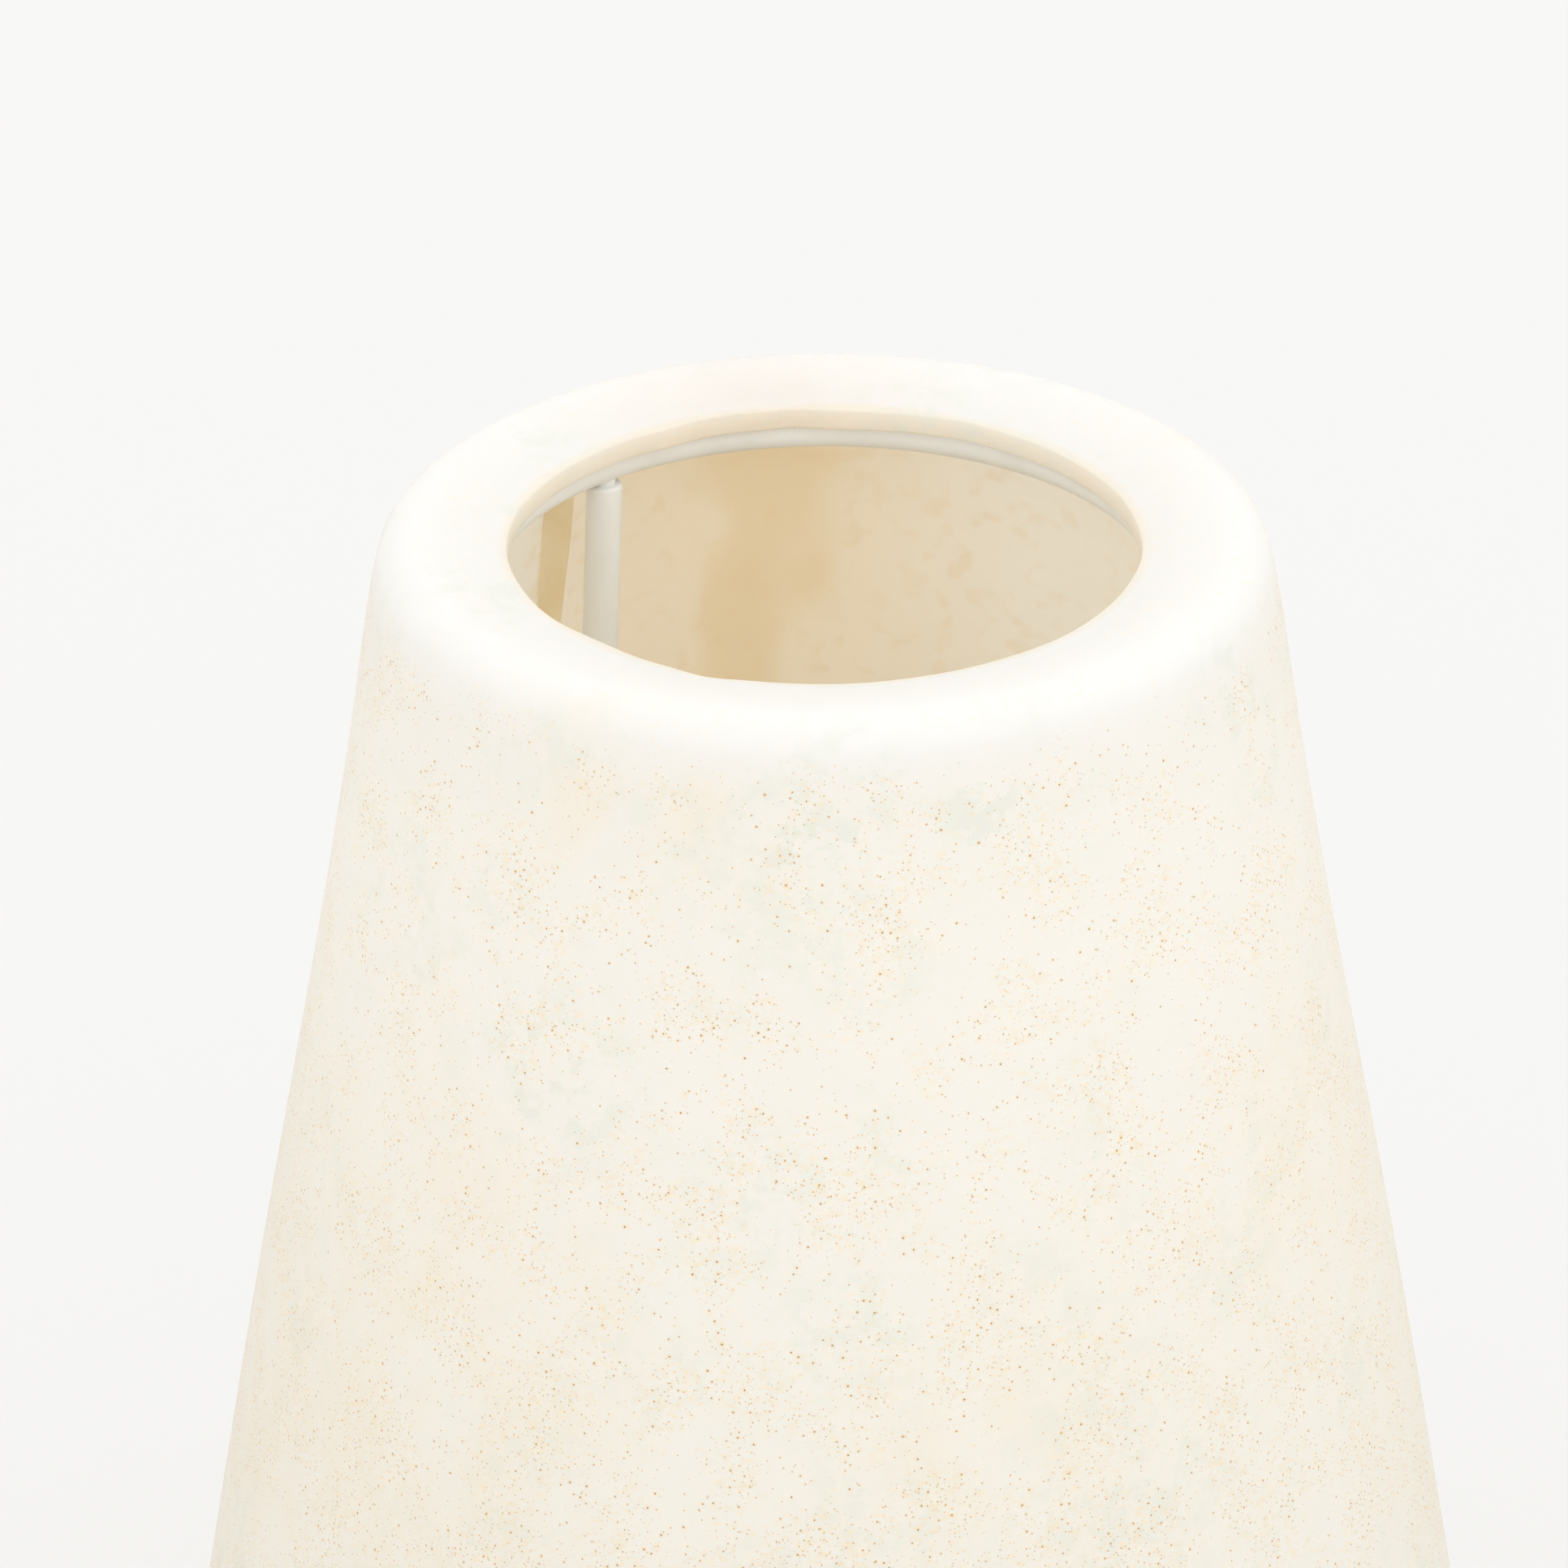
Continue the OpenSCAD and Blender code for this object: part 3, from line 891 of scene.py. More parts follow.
@dataclass(frozen=True)
class StripFinish:
    """Tan paper strip with long fibres and glue stains.

    Attributes:
        colour: Colour of the paper.
        stain: Colour of the stains and fibres.
        through: Share of the light that goes through.
    """

    colour: Colour = (1.0, 0.95, 0.81)
    stain: Colour = (0.96, 0.86, 0.66)
    through: float = 0.6

    def build(self) -> bpy.types.Material:
        """Makes the material."""
        g = Graph.new("joint_strip_paper")
        place = g.object_place()
        fibre = g.noise(g.stretched(place, (1.0, 1.0, 0.12)), 0.0007, 3.0, 0.6)
        stain = g.noise(place, 0.014, 4.0, 0.6, 0.6)
        ground = g.mix(g.math("MULTIPLY", g.ramp(stain, 0.42, 0.7), 0.6), self.colour, self.stain)
        ground = g.mix(g.math("MULTIPLY", fibre, 0.2), ground, self.stain)
        shader = g.principled(Base_Color=ground, Roughness=0.7, Normal=g.bump(fibre, 0.0001, 0.4))
        return translucent_mix(g, shader.outputs[0], ground, self.through)


@dataclass(frozen=True)
class PaintFinish:
    """Powder coat: slightly wavy, with colour that settles a little thicker in places.

    Attributes:
        name: Name of the material.
        colour: Colour of the coat.
        shade: Colour where the coat is thin.
        roughness: Mean roughness.
    """

    name: str = "white_powder_coat"
    colour: Colour = (0.85, 0.84, 0.80)
    shade: Colour = (0.80, 0.785, 0.735)
    roughness: float = 0.38

    def build(self) -> bpy.types.Material:
        """Makes the material."""
        g = Graph.new(self.name)
        place = g.object_place()
        peel = g.noise(place, 0.0022, 2.0, 0.4)
        wear = g.noise(place, 0.02, 4.0, 0.6)
        colour = g.mix(g.ramp(wear, 0.45, 0.7), self.colour, self.shade)
        rough = g.ramp(wear, 0.3, 0.7, self.roughness - 0.06, self.roughness + 0.08)
        shader = g.principled(Base_Color=colour, Roughness=rough,
                              Normal=g.bump(peel, 0.00006, 0.35))
        return g.finish(shader.outputs[0])


@dataclass(frozen=True)
class MetalFinish:
    """Plated or bare metal with fine lathe marks and a little tarnish.

    Attributes:
        name: Name of the material.
        colour: Clean colour.
        tarnish: Colour of the tarnish.
        roughness: Mean roughness.
    """

    name: str
    colour: Colour
    tarnish: Colour
    roughness: float

    def build(self) -> bpy.types.Material:
        """Makes the material."""
        g = Graph.new(self.name)
        place = g.object_place()
        marks = g.noise(g.stretched(place, (0.15, 0.15, 1.0)), 0.0006, 2.0, 0.5)
        stain = g.noise(place, 0.006, 4.0, 0.6)
        colour = g.mix(g.math("MULTIPLY", g.ramp(stain, 0.45, 0.75), 0.5), self.colour,
                       self.tarnish)
        rough = g.math("ADD", g.ramp(stain, 0.3, 0.7, self.roughness - 0.05,
                                     self.roughness + 0.1),
                       g.math("MULTIPLY", marks, 0.08))
        shader = g.principled(Base_Color=colour, Metallic=1.0, Roughness=rough,
                              Normal=g.bump(marks, 0.00002, 0.3))
        return g.finish(shader.outputs[0])


@dataclass(frozen=True)
class MouldedFinish:
    """Moulded plastic, rubber or ceramic with a fine surface texture.

    Attributes:
        name: Name of the material.
        colour: Main colour.
        second: Colour of the faint cloudiness.
        roughness: Mean roughness.
        texture: Size of the surface texture.
        relief: Height of the surface texture.
    """

    name: str
    colour: Colour
    second: Colour
    roughness: float
    texture: float = 0.0012
    relief: float = 0.00003

    def build(self) -> bpy.types.Material:
        """Makes the material."""
        g = Graph.new(self.name)
        place = g.object_place()
        cloud = g.noise(place, 0.012, 3.0, 0.55)
        colour = g.mix(g.ramp(cloud, 0.4, 0.7), self.colour, self.second)
        rough = g.ramp(cloud, 0.3, 0.7, self.roughness - 0.05, self.roughness + 0.07)
        shader = g.principled(
            Base_Color=colour, Roughness=rough,
            Normal=g.bump(g.noise(place, self.texture, 3.0), self.relief, 0.5))
        return g.finish(shader.outputs[0])


@dataclass(frozen=True)
class GlassFinish:
    """Clear bulb glass with a faint tint.

    Attributes:
        tint: Colour of the glass.
    """

    tint: Colour = (0.97, 0.985, 0.99)

    def build(self) -> bpy.types.Material:
        """Makes the material."""
        g = Graph.new("clear_glass")
        film = g.noise(g.object_place(), 0.012, 3.0)
        shader = g.principled(Base_Color=self.tint, Transmission_Weight=1.0, IOR=1.46,
                              Roughness=g.ramp(film, 0.4, 0.8, 0.0, 0.03))
        return g.finish(shader.outputs[0])


@dataclass(frozen=True)
class PhosphorFinish:
    """Amber coating of the light rods, with a fine grain.

    Attributes:
        colour: Colour of the thick places.
        pale: Colour of the thin places.
    """

    colour: Colour = (0.92, 0.62, 0.14)
    pale: Colour = (0.98, 0.80, 0.36)

    def build(self) -> bpy.types.Material:
        """Makes the material."""
        g = Graph.new("amber_phosphor")
        grain = g.noise(g.object_place(), 0.0008, 3.0, 0.7)
        shader = g.principled(Base_Color=g.mix(grain, self.colour, self.pale), Roughness=0.6,
                              Normal=g.bump(grain, 0.00003, 0.5))
        return g.finish(shader.outputs[0])


@dataclass
class Finishes:
    """The materials shared by the sub-assemblies, each built once.

    Attributes:
        paint: Powder coat of the stand.
        zinc: Plate on screws, nuts, wires and the bulb's cap.
        brass: Brass of contacts and of the earth terminal.
        rubber: Rubber of the feet.
        holder: Moulded plastic of the lampholder and the bush.
        ceramic: Core of the lampholder.
        cap_glass: Dark glass in the bulb's cap.
        glass: Clear glass of the bulb.
        phosphor: Coating of the light rods.
    """

    paint: bpy.types.Material = field(default_factory=PaintFinish().build)
    zinc: bpy.types.Material = field(default_factory=MetalFinish(
        "bright_zinc", (0.72, 0.73, 0.74), (0.55, 0.56, 0.55), 0.28).build)
    brass: bpy.types.Material = field(default_factory=MetalFinish(
        "satin_brass", (0.80, 0.62, 0.30), (0.55, 0.40, 0.18), 0.3).build)
    rubber: bpy.types.Material = field(default_factory=MouldedFinish(
        "black_rubber", (0.035, 0.035, 0.036), (0.06, 0.06, 0.06), 0.75, 0.0009, 0.00006).build)
    holder: bpy.types.Material = field(default_factory=MouldedFinish(
        "white_thermoset", (0.86, 0.855, 0.83), (0.83, 0.82, 0.79), 0.3).build)
    ceramic: bpy.types.Material = field(default_factory=MouldedFinish(
        "steatite", (0.88, 0.87, 0.83), (0.82, 0.80, 0.75), 0.6, 0.0007, 0.00005).build)
    cap_glass: bpy.types.Material = field(default_factory=MouldedFinish(
        "black_cap_glass", (0.02, 0.02, 0.025), (0.03, 0.03, 0.03), 0.15).build)
    glass: bpy.types.Material = field(default_factory=GlassFinish().build)
    phosphor: bpy.types.Material = field(default_factory=PhosphorFinish().build)


# --- Shell --------------------------------------------------------------------


@dataclass(frozen=True)
class Cut:
    """A place where the hand-cut edge of the hole leaves its circle.

    Attributes:
        azimuth: Direction from the axis, in degrees.
        width: Half of its width, in degrees.
        out: Distance outwards, negative where the edge stands in.
    """

    azimuth: float
    width: float
    out: float


@dataclass(frozen=True)
class Swell:
    """A soft belt where the wall leaves its straight line.

    Attributes:
        drop: Depth of its middle under the top.
        width: Half of its width.
        out: Distance outwards.
    """

    drop: float
    width: float
    out: float


@dataclass
class Shell:
    """The goatskin and the former that it is stretched over.

    Attributes:
        taper: Outward run of the wall for each metre down.
        shoulder: Radius of the rounded shoulder.
        dish: Angle at which the top dips towards the hole.
        skin: Thickness of the skin.
        glue: Thickness of the glue between the skin and the former.
        lip: Height of the skin's turned-down edge in the hole.
        hem_flap: Height of the flap turned in at the foot.
        columns: Number of columns round the shell.
        seam: Direction of the skin's joint from the axis.
        strip_half: Half of the width of the strip over the joint.
        strip_thick: Thickness of the strip.
        strip_gap: Thickness of the glue under the strip.
        cuts: Places where the hole's edge leaves its circle.
        swells: Belts where the wall leaves its straight line.
        clouds: Stains on the skin.
    """

    taper: float = 0.1855
    shoulder: float = 6 * MM
    dish: float = math.radians(11)
    skin: float = 1 * MM
    glue: float = 0.05 * MM
    lip: float = 3.6 * MM
    hem_flap: float = 12 * MM
    columns: int = 360
    seam: float = math.radians(129)
    strip_half: float = 2.9 * MM
    strip_thick: float = 0.5 * MM
    strip_gap: float = 0.12 * MM
    cuts: tuple[Cut, ...] = (
        Cut(96, 3.5, 0.6 * MM), Cut(84, 7, -0.5 * MM), Cut(110, 8, 0.4 * MM),
        Cut(122, 5, -0.5 * MM), Cut(62, 6, 0.35 * MM), Cut(249, 5, 0.75 * MM),
        Cut(226, 9, -0.7 * MM), Cut(300, 14, -0.2 * MM), Cut(180, 12, 0.3 * MM),
        Cut(352, 10, 0.35 * MM))
    swells: tuple[Swell, ...] = (
        Swell(12 * MM, 16 * MM, 0.35 * MM), Swell(62 * MM, 42 * MM, -0.5 * MM),
        Swell(150 * MM, 50 * MM, 0.3 * MM), Swell(255 * MM, 60 * MM, -0.3 * MM))
    clouds: tuple[Cloud, ...] = (
        Cloud(267, 0.018, 0.009, 1.0), Cloud(274, 0.0187, 0.007, 0.9),
        Cloud(262, 0.013, 0.008, 0.6), Cloud(289, 0.015, 0.011, 0.75),
        Cloud(239, 0.061, 0.02, 0.7), Cloud(262, 0.075, 0.016, 0.6),
        Cloud(272, 0.095, 0.02, 0.5), Cloud(300, 0.13, 0.03, 0.5),
        Cloud(215, 0.045, 0.025, 0.5), Cloud(60, 0.09, 0.04, 0.7), Cloud(150, 0.07, 0.03, 0.7),
        Cloud(110, 0.2, 0.05, 0.7), Cloud(241, 0.018, 0.013, 0.8, False),
        Cloud(256, 0.014, 0.009, 0.9, False), Cloud(229, 0.105, 0.05, 0.6, False),
        Cloud(332, 0.09, 0.035, 0.6, False), Cloud(285, 0.115, 0.03, 0.5, False),
        Cloud(210, 0.15, 0.05, 0.5, False), Cloud(238, 0.0, 0.012, 0.6, False),
        Cloud(32, 0.0, 0.013, 0.6, False), Cloud(100, 0.12, 0.06, 0.6, False))

    def __post_init__(self) -> None:
        """Reads the driving sizes from the CAD skin and former."""
        skin = NodeBox.of("parchment_skin")
        points = node_points("parchment_skin")
        reach = np.hypot(points[:, 0], points[:, 1])
        self.top = skin.high.z
        self.hem = skin.low.z
        self.hole = float(reach.min())
        foot = float(reach.max())
        self.top_radius = foot - self.taper * (self.top - self.hem)
        self.wall_angle = math.atan(self.taper)
        former = node_points("shell_former")
        low = float(former[:, 2].min())
        at_foot = former[former[:, 2] < low + 0.01 * MM]
        outer_here = self.top_radius + self.taper * (self.top - low)
        self.thick = float((outer_here - np.hypot(at_foot[:, 0], at_foot[:, 1]).min())
                           * math.cos(self.wall_angle))
        self.arc_r = (self.top_radius + self.taper * self.shoulder
                      - self.shoulder / math.cos(self.wall_angle))
        self.arc_z = self.top - self.shoulder

    def wall_radius(self, z: Array, depth: float) -> Array:
        """Returns the wall's radius at height z, depth under its outer face."""
        return self.top_radius + self.taper * (self.top - z) - depth / math.cos(self.wall_angle)

    def top_height(self, radius: Array, depth: float) -> Array:
        """Returns the top's height at a radius, depth under its outer face."""
        return (self.arc_z + (self.shoulder - depth) / math.cos(self.dish)
                - (self.arc_r - radius) * math.tan(self.dish))

    def outline(self, depth: float, z_low: float, inner: float, wall_rows: int, arc_rows: int,
                top_rows: int) -> Array:
        """Returns the outline from the wall's foot over the shoulder to the hole.

        The wall is a straight line, the shoulder an arc of radius (shoulder - depth) about a fixed
        middle, and the top a straight line at the dish angle.

        Args:
            depth: Distance under the outer face.
            z_low: Height where it starts.
            inner: Radius where it ends.
            wall_rows: Number of points on the wall.
            arc_rows: Number of points on the shoulder.
            top_rows: Number of points on the top.

        Returns:
            Points of radius and height.
        """
        radius = self.shoulder - depth
        angle = np.linspace(self.wall_angle, math.pi / 2 + self.dish, arc_rows)
        arc = np.stack([self.arc_r + radius * np.cos(angle),
                        self.arc_z + radius * np.sin(angle)], axis=1)
        z = np.linspace(z_low, arc[0, 1], wall_rows, endpoint=False)
        wall = level(self.wall_radius(z, depth), z)
        r = np.linspace(arc[-1, 0], inner, top_rows + 1)[1:]
        top = level(r, self.top_height(r, depth))
        return np.concatenate([wall, arc, top])

    def hole_offset(self, angle: Array) -> Array:
        """Returns how far the hole's edge stands out of its circle: a sum of bell curves."""
        offset = 0.06 * MM * np.sin(7 * angle + 0.4) + 0.04 * MM * np.sin(17 * angle + 2.0)
        for cut in self.cuts:
            away = (np.degrees(angle) - cut.azimuth + 180) % 360 - 180
            offset = offset + cut.out * np.exp(-(away / cut.width) ** 2)
        return offset

    def wall_offset(self, angle: Array, z: Array) -> Array:
        """Returns how far the wall stands out of its cone: soft belts and slow waves round it."""
        offset = 0.12 * MM * np.sin(3 * angle + 9 * z) + 0.08 * MM * np.sin(5 * angle - 21 * z + 1)
        for swell in self.swells:
            offset = offset + swell.out * np.exp(-((self.top - z - swell.drop) / swell.width) ** 2)
        edge = smoothstep(z, self.hem, self.hem + 25 * MM)
        return offset * edge

    def bend(self, loop: Array) -> Array:
        """Turns an outline into a grid with the hand-made unevenness on it.

        Args:
            loop: Outline of (radius, height) points.

        Returns:
            Grid of points, of shape (n, columns, 3).
        """
        angle = self.seam + turns(self.columns)
        radius = np.broadcast_to(loop[:, :1], (len(loop), self.columns)).copy()
        z = np.broadcast_to(loop[:, 1:], radius.shape)
        near_top = smoothstep(z, self.arc_z - 4 * MM, self.top - 3 * MM)
        on_top = smoothstep(-radius, -self.arc_r, -self.hole - 1 * MM) * (z > self.arc_z - 12 * MM)
        around = np.broadcast_to(angle, radius.shape)
        radius += self.hole_offset(around) * on_top
        radius += self.wall_offset(around, z) * (1 - near_top) * (1 - on_top)
        return polar(radius, around, z)

    def skin_loop(self) -> tuple[Array, Array]:
        """Returns the skin's closed outline and the material number of each span.

        It runs up the outer wall, over the shoulder, across the top, round the hole's edge, down
        and back up the lip, back under the top and down the glued face, then round the hem.
        """
        edge, foot_round, corner_round = 0.45 * MM, 0.3 * MM, 0.9 * MM
        hem, skin, thick = self.hem, self.skin, self.thick
        outer = self.outline(0.0, hem + 1.2 * MM, self.hole + edge, 96, 22, 16)
        lip_z = float(self.top_height(np.array(self.hole), 0.0)) - self.lip
        turn = np.linspace(math.pi / 2, math.pi, 6)[1:]
        rim = np.stack([self.hole + edge + edge * np.cos(turn),
                        outer[-1, 1] - edge + edge * np.sin(turn)], axis=1)
        down = np.linspace(rim[-1, 1], lip_z + foot_round, 7)[1:]
        lip = level(self.hole, down)
        turn = np.linspace(math.pi, 2 * math.pi, 7)[1:]
        foot = np.stack([self.hole + skin / 2 + skin / 2 * np.cos(turn),
                         lip_z + foot_round + foot_round * np.sin(turn)], axis=1)
        inner = self.outline(skin, hem + skin, self.hole + skin, 40, 12, 6)[::-1]
        flap_top = hem + self.hem_flap
        flap = np.array([[self.wall_radius(at, thick + share * skin), at + up * MM]
                         for at, share, up in ((hem + skin, 0.0, 0.0), (flap_top, 0.0, -0.2),
                                               (flap_top, 0.5, 0.0), (flap_top, 1.0, -0.25),
                                               (hem, 1.0, 0.8), (hem, 0.7, 0.2), (hem, 0.3, 0.0))])
        bottom = np.linspace(flap[-1, 0], self.wall_radius(hem, corner_round), 5)[1:]
        under = level(bottom, hem)
        turn = np.linspace(-math.pi / 2, 0, 5)[1:-1]
        corner = np.stack([self.wall_radius(hem, corner_round) + corner_round * np.cos(turn),
                           hem + corner_round + corner_round * np.sin(turn)], axis=1)
        loop = np.concatenate([outer, rim, lip, foot, inner, flap, under, corner])
        shown = len(outer) + len(rim) + len(lip) + len(foot) - 1
        material = np.zeros(len(loop), dtype=np.int32)
        material[shown:shown + len(inner) + 2] = 1
        return loop, material

    def unrolled(self, loop: Array) -> Array:
        """Returns the skin's texture places: the cone's wall laid out flat, in metres.

        A point at a distance s along the outline from the wall's top lies at a distance
        apex + s from the cone's apex, and its angle is the turn from the seam times the sine of the
        wall's angle.
        """
        closed = np.concatenate([loop, loop[:1]])
        run = np.concatenate([[0.0], np.cumsum(np.hypot(*np.diff(closed, axis=0).T))])
        top_row = int(np.argmax(closed[:, 1]))
        apex = self.top_radius / math.sin(self.wall_angle)
        distance = apex + (run[top_row] - run)
        turn = np.linspace(0, TAU, self.columns + 1) * math.sin(self.wall_angle)
        return np.stack([distance[:, None] * np.cos(turn), distance[:, None] * np.sin(turn)],
                        axis=-1)

    def former_loop(self) -> tuple[Array, Array]:
        """Returns the former's closed outline and the material number of each span.

        The outer, glued side runs up and the inner, shown side runs back down.
        """
        depth = self.skin + self.glue
        outer = self.outline(depth, self.hem + depth, self.hole + depth, 40, 12, 6)
        inner = self.outline(self.thick, self.hem + depth, self.hole + depth, 96, 14, 10)[::-1]
        loop = np.concatenate([outer, inner])
        material = np.zeros(len(loop), dtype=np.int32)
        material[:len(outer) - 1] = 1
        return loop, material

    def strip_surface(self) -> Surface:
        """Returns the strip over the skin's joint: a thin bar bent to the former's inner face.

        Its cross-section is a ring of points from edge to edge and back, its edges wander a little,
        and it follows the wall's own unevenness.
        """
        box = NodeBox.of("seam_strip")
        z = np.linspace(box.low.z, box.high.z, 120)[:, None]
        across = np.concatenate([np.linspace(-1, 1, 7), np.linspace(1, -1, 7)])
        deep = np.concatenate([np.zeros(7), np.ones(7)])
        deep[[7, 13]] = 0.7
        width = self.strip_half * (1 + 0.05 * np.sin(90 * z) + 0.04 * np.sin(217 * z + 1))
        radius = (self.wall_radius(z, self.thick + self.strip_gap)
                  - self.strip_thick * deep[None, :])
        angle = self.seam + across[None, :] * width / radius
        radius = radius + self.wall_offset(angle, z + 0 * angle)
        return Surface(polar(radius, angle, z), Ends.CAPPED)

    def make(self) -> list[bpy.types.Object]:
        """Builds the goatskin, the former and the seam strip.

        Returns:
            The new pieces.
        """
        glue = GlueFinish().build()
        parchment, laminate = ParchmentFinish(), LaminateFinish()
        loop, material = self.skin_loop()
        points = self.bend(loop)
        tint = parchment.tint(points, self.top, self.hole, self.clouds, self.taper,
                              self.top_radius)
        skin = Surface(points, uv=self.unrolled(loop), rows_material=material, tint=tint
                       ).build("goatskin", [parchment.build(self.top), glue])
        loop, material = self.former_loop()
        points = self.bend(loop)
        former = Surface(points, rows_material=material, tint=laminate.tint(points)
                         ).build("former", [laminate.build(), glue])
        return [attach(skin, Body.SHELL, Slot.PARCHMENT, "parchment_skin"),
                attach(former, Body.SHELL, Slot.FORMER, "shell_former"),
                add(self.strip_surface(), "joint_strip", StripFinish().build(), Body.SHELL,
                    Slot.SEAM, "seam_strip")]


# --- Stand --------------------------------------------------------------------


@dataclass
class Stand:
    """The white wire stand on its base plate.

    Attributes:
        finishes: The shared materials.
        wire: Radius of the ring's and the rods' wire.
        gap: Height of the joint line between a rod and the ring.
        spigot: Radius of the pin that enters the ring.
        bore: Radius of the hole for the nipple, in millimetres.
        seat: Depth of the pressed middle of the plate, in millimetres.
    """

    finishes: Finishes
    wire: float = 3 * MM
    gap: float = 0.5 * MM
    spigot: float = 1.8 * MM
    bore: float = 5.1
    seat: float = 0.35

    def ring(self) -> bpy.types.Object:
        """Builds the ring: a circle carried round the axis, with a faint bend of the wire."""
        box, columns, sides = NodeBox.of("top_ring"), 220, 28
        turn = turns(sides)
        loop = level(box.radius - self.wire + self.wire * np.cos(turn),
                     box.centre.z + self.wire * np.sin(turn))
        points = sweep_round(loop, columns)
        points[..., 2] -= 0.08 * MM * (1 + np.sin(2 * turns(columns) + 0.7))[None, :]
        return add(Surface(points), "wire_ring", self.finishes.paint, Body.STAND,
                   Slot.WHITE_PAINT, "top_ring")

    def rod(self, node: str) -> bpy.types.Object:
        """Builds one rod.

        Every ring of points is level: an ellipse whose long axis points away from the lantern's
        axis, r / cos(lean) by r, about a middle that moves in as it rises. A weld bead spreads its
        foot, its top edge is broken, and a pin goes on into the ring.

        Args:
            node: CAD node of the rod.

        Returns:
            The new piece.
        """
        ring, plate = NodeBox.of("top_ring"), NodeBox.of("base_plate")
        cad = node_points(node)
        foot = cad[cad[:, 2] < cad[:, 2].min() + 0.01 * MM].mean(axis=0)
        away = math.hypot(foot[0], foot[1])
        out = foot[:2] / away
        side = np.array([-out[1], out[0]])
        base, top = plate.high.z, ring.low.z - self.gap
        lean = (away - (ring.radius - self.wire)) / (ring.low.z - plate.low.z)
        z = np.concatenate([
            [plate.low.z], base + np.array([0, 0.3, 0.8, 1.5]) * MM,
            np.linspace(base + 6 * MM, top - 4 * MM, 24),
            top + np.array([-0.8, -0.4, -0.12, 0, 0.01]) * MM, [top + self.gap + 1.5 * MM]])
        radius = np.full(len(z), self.wire)
        radius[:5] += np.array([1.3, 1.3, 0.75, 0.25, 0.0]) * MM
        radius[-5:] = np.array([-0.06, -0.25, -0.55, 0, 0]) * MM + self.wire
        radius[-2:] = self.spigot
        middle = away - lean * (z - plate.low.z)
        turn = turns(24)
        stretch = math.hypot(1, lean)
        outwards = middle[:, None] + radius[:, None] * stretch * np.cos(turn)
        sideways = radius[:, None] * np.sin(turn)
        points = np.stack([outwards * out[0] + sideways * side[0],
                           outwards * out[1] + sideways * side[1],
                           z[:, None] + 0 * outwards], axis=-1)
        return add(Surface(points, Ends.CAPPED), node.replace("rod", "wire_rod"),
                   self.finishes.paint, Body.STAND, Slot.WHITE_PAINT, node)

    def plate(self) -> bpy.types.Object:
        """Builds the base plate: a flat washer with rounded rims and a faint pressed step."""
        low, high, rim = NodeBox.of("base_plate").span
        middle = high - self.seat
        plate = turned([[self.bore, low], [rim, low], [rim, high], [rim - 14, high],
                        [rim - 15, middle], [self.bore, middle]], 1.1, 200)
        return add(plate, "stand_plate", self.finishes.paint, Body.STAND, Slot.WHITE_PAINT,
                   "base_plate")

    def stem(self) -> bpy.types.Object:
        """Builds the spacer tube under the lampholder."""
        low, high, r = NodeBox.of("stem_tube").span
        low -= self.seat
        stem = turned([[self.bore, low], [r, low], [r, high], [self.bore, high]], 0.5, 64)
        return add(stem, "spacer_tube", self.finishes.paint, Body.STAND, Slot.WHITE_PAINT,
                   "stem_tube")

    def foot(self, node: str) -> bpy.types.Object:
        """Builds one rubber foot with moulded rings round its tread.

        Args:
            node: CAD node of the foot.

        Returns:
            The new piece.
        """
        box = NodeBox.of(node)
        low, high, r = box.span
        hole, well, web = 2.1, 4.6, high - 3
        foot = turned([[hole, high], [r, high], [r, high - 1], [r - 1.5, low + 0.6],
                       [r - 2.1, low], [8.2, low], [7.9, low + 0.5], [7.3, low + 0.5],
                       [7.0, low], [well, low], [well, web], [hole, web]], 0.35, 56, 3)
        foot.points += np.array([box.centre.x, box.centre.y, 0.0])
        return add(foot, node.replace("foot_pad", "rubber_foot"), self.finishes.rubber,
                   Body.STAND, Slot.RUBBER, node)

    def bush(self) -> bpy.types.Object:
        """Builds the flared bush on the nipple's lower end."""
        low, high, r = NodeBox.of("cord_bush").span
        bore, seat, mouth = 3.5, 5.05, 2
        bush = turned([[bore, mouth], [bore + 0.7, low], [r, low], [r, high], [seat, high],
                       [seat, mouth]], 0.5, 56)
        return add(bush, "inlet_bush", self.finishes.holder, Body.STAND, Slot.HOLDER,
                   "cord_bush")

    def make(self) -> list[bpy.types.Object]:
        """Builds the stand and dresses its fasteners.

        Returns:
            The new pieces.
        """
        pieces = [self.ring(), self.plate(), self.stem(), self.bush()]
        pieces += [self.rod(f"rod_{side}") for side in ("rear_left", "front", "right")]
        pieces += [self.foot(f"foot_pad_{side}") for side in ("rear", "left", "right")]
        for node in ("foot_screws", "threaded_nipple", "lock_washer", "lock_nut"):
            dress(node, self.finishes.zinc)
        for node in ("earth_screw", "earth_washer"):
            dress(node, self.finishes.brass)
        return pieces


# --- Lampholder and bulb --------------------------------------------------------


def thread_wave(z: Array, angle: Array, pitch: float, low: float, high: float) -> Array:
    """Returns a rolled thread from 0 to 1.

    It is (1 + cos(2 pi z / pitch - angle)) / 2, so one turn round climbs one pitch, and it fades
    out at both ends.

    Args:
        z: Heights.
        angle: Angles round the axis.
        pitch: Climb of one turn.
        low: Height where the thread starts.
        high: Height where it ends.

    Returns:
        The thread's height at each point.
    """
    wave = 0.5 + 0.5 * np.cos(TAU * z / pitch - angle)
    return wave * smoothstep(z, low, low + pitch) * smoothstep(-z, -high, -high + pitch)


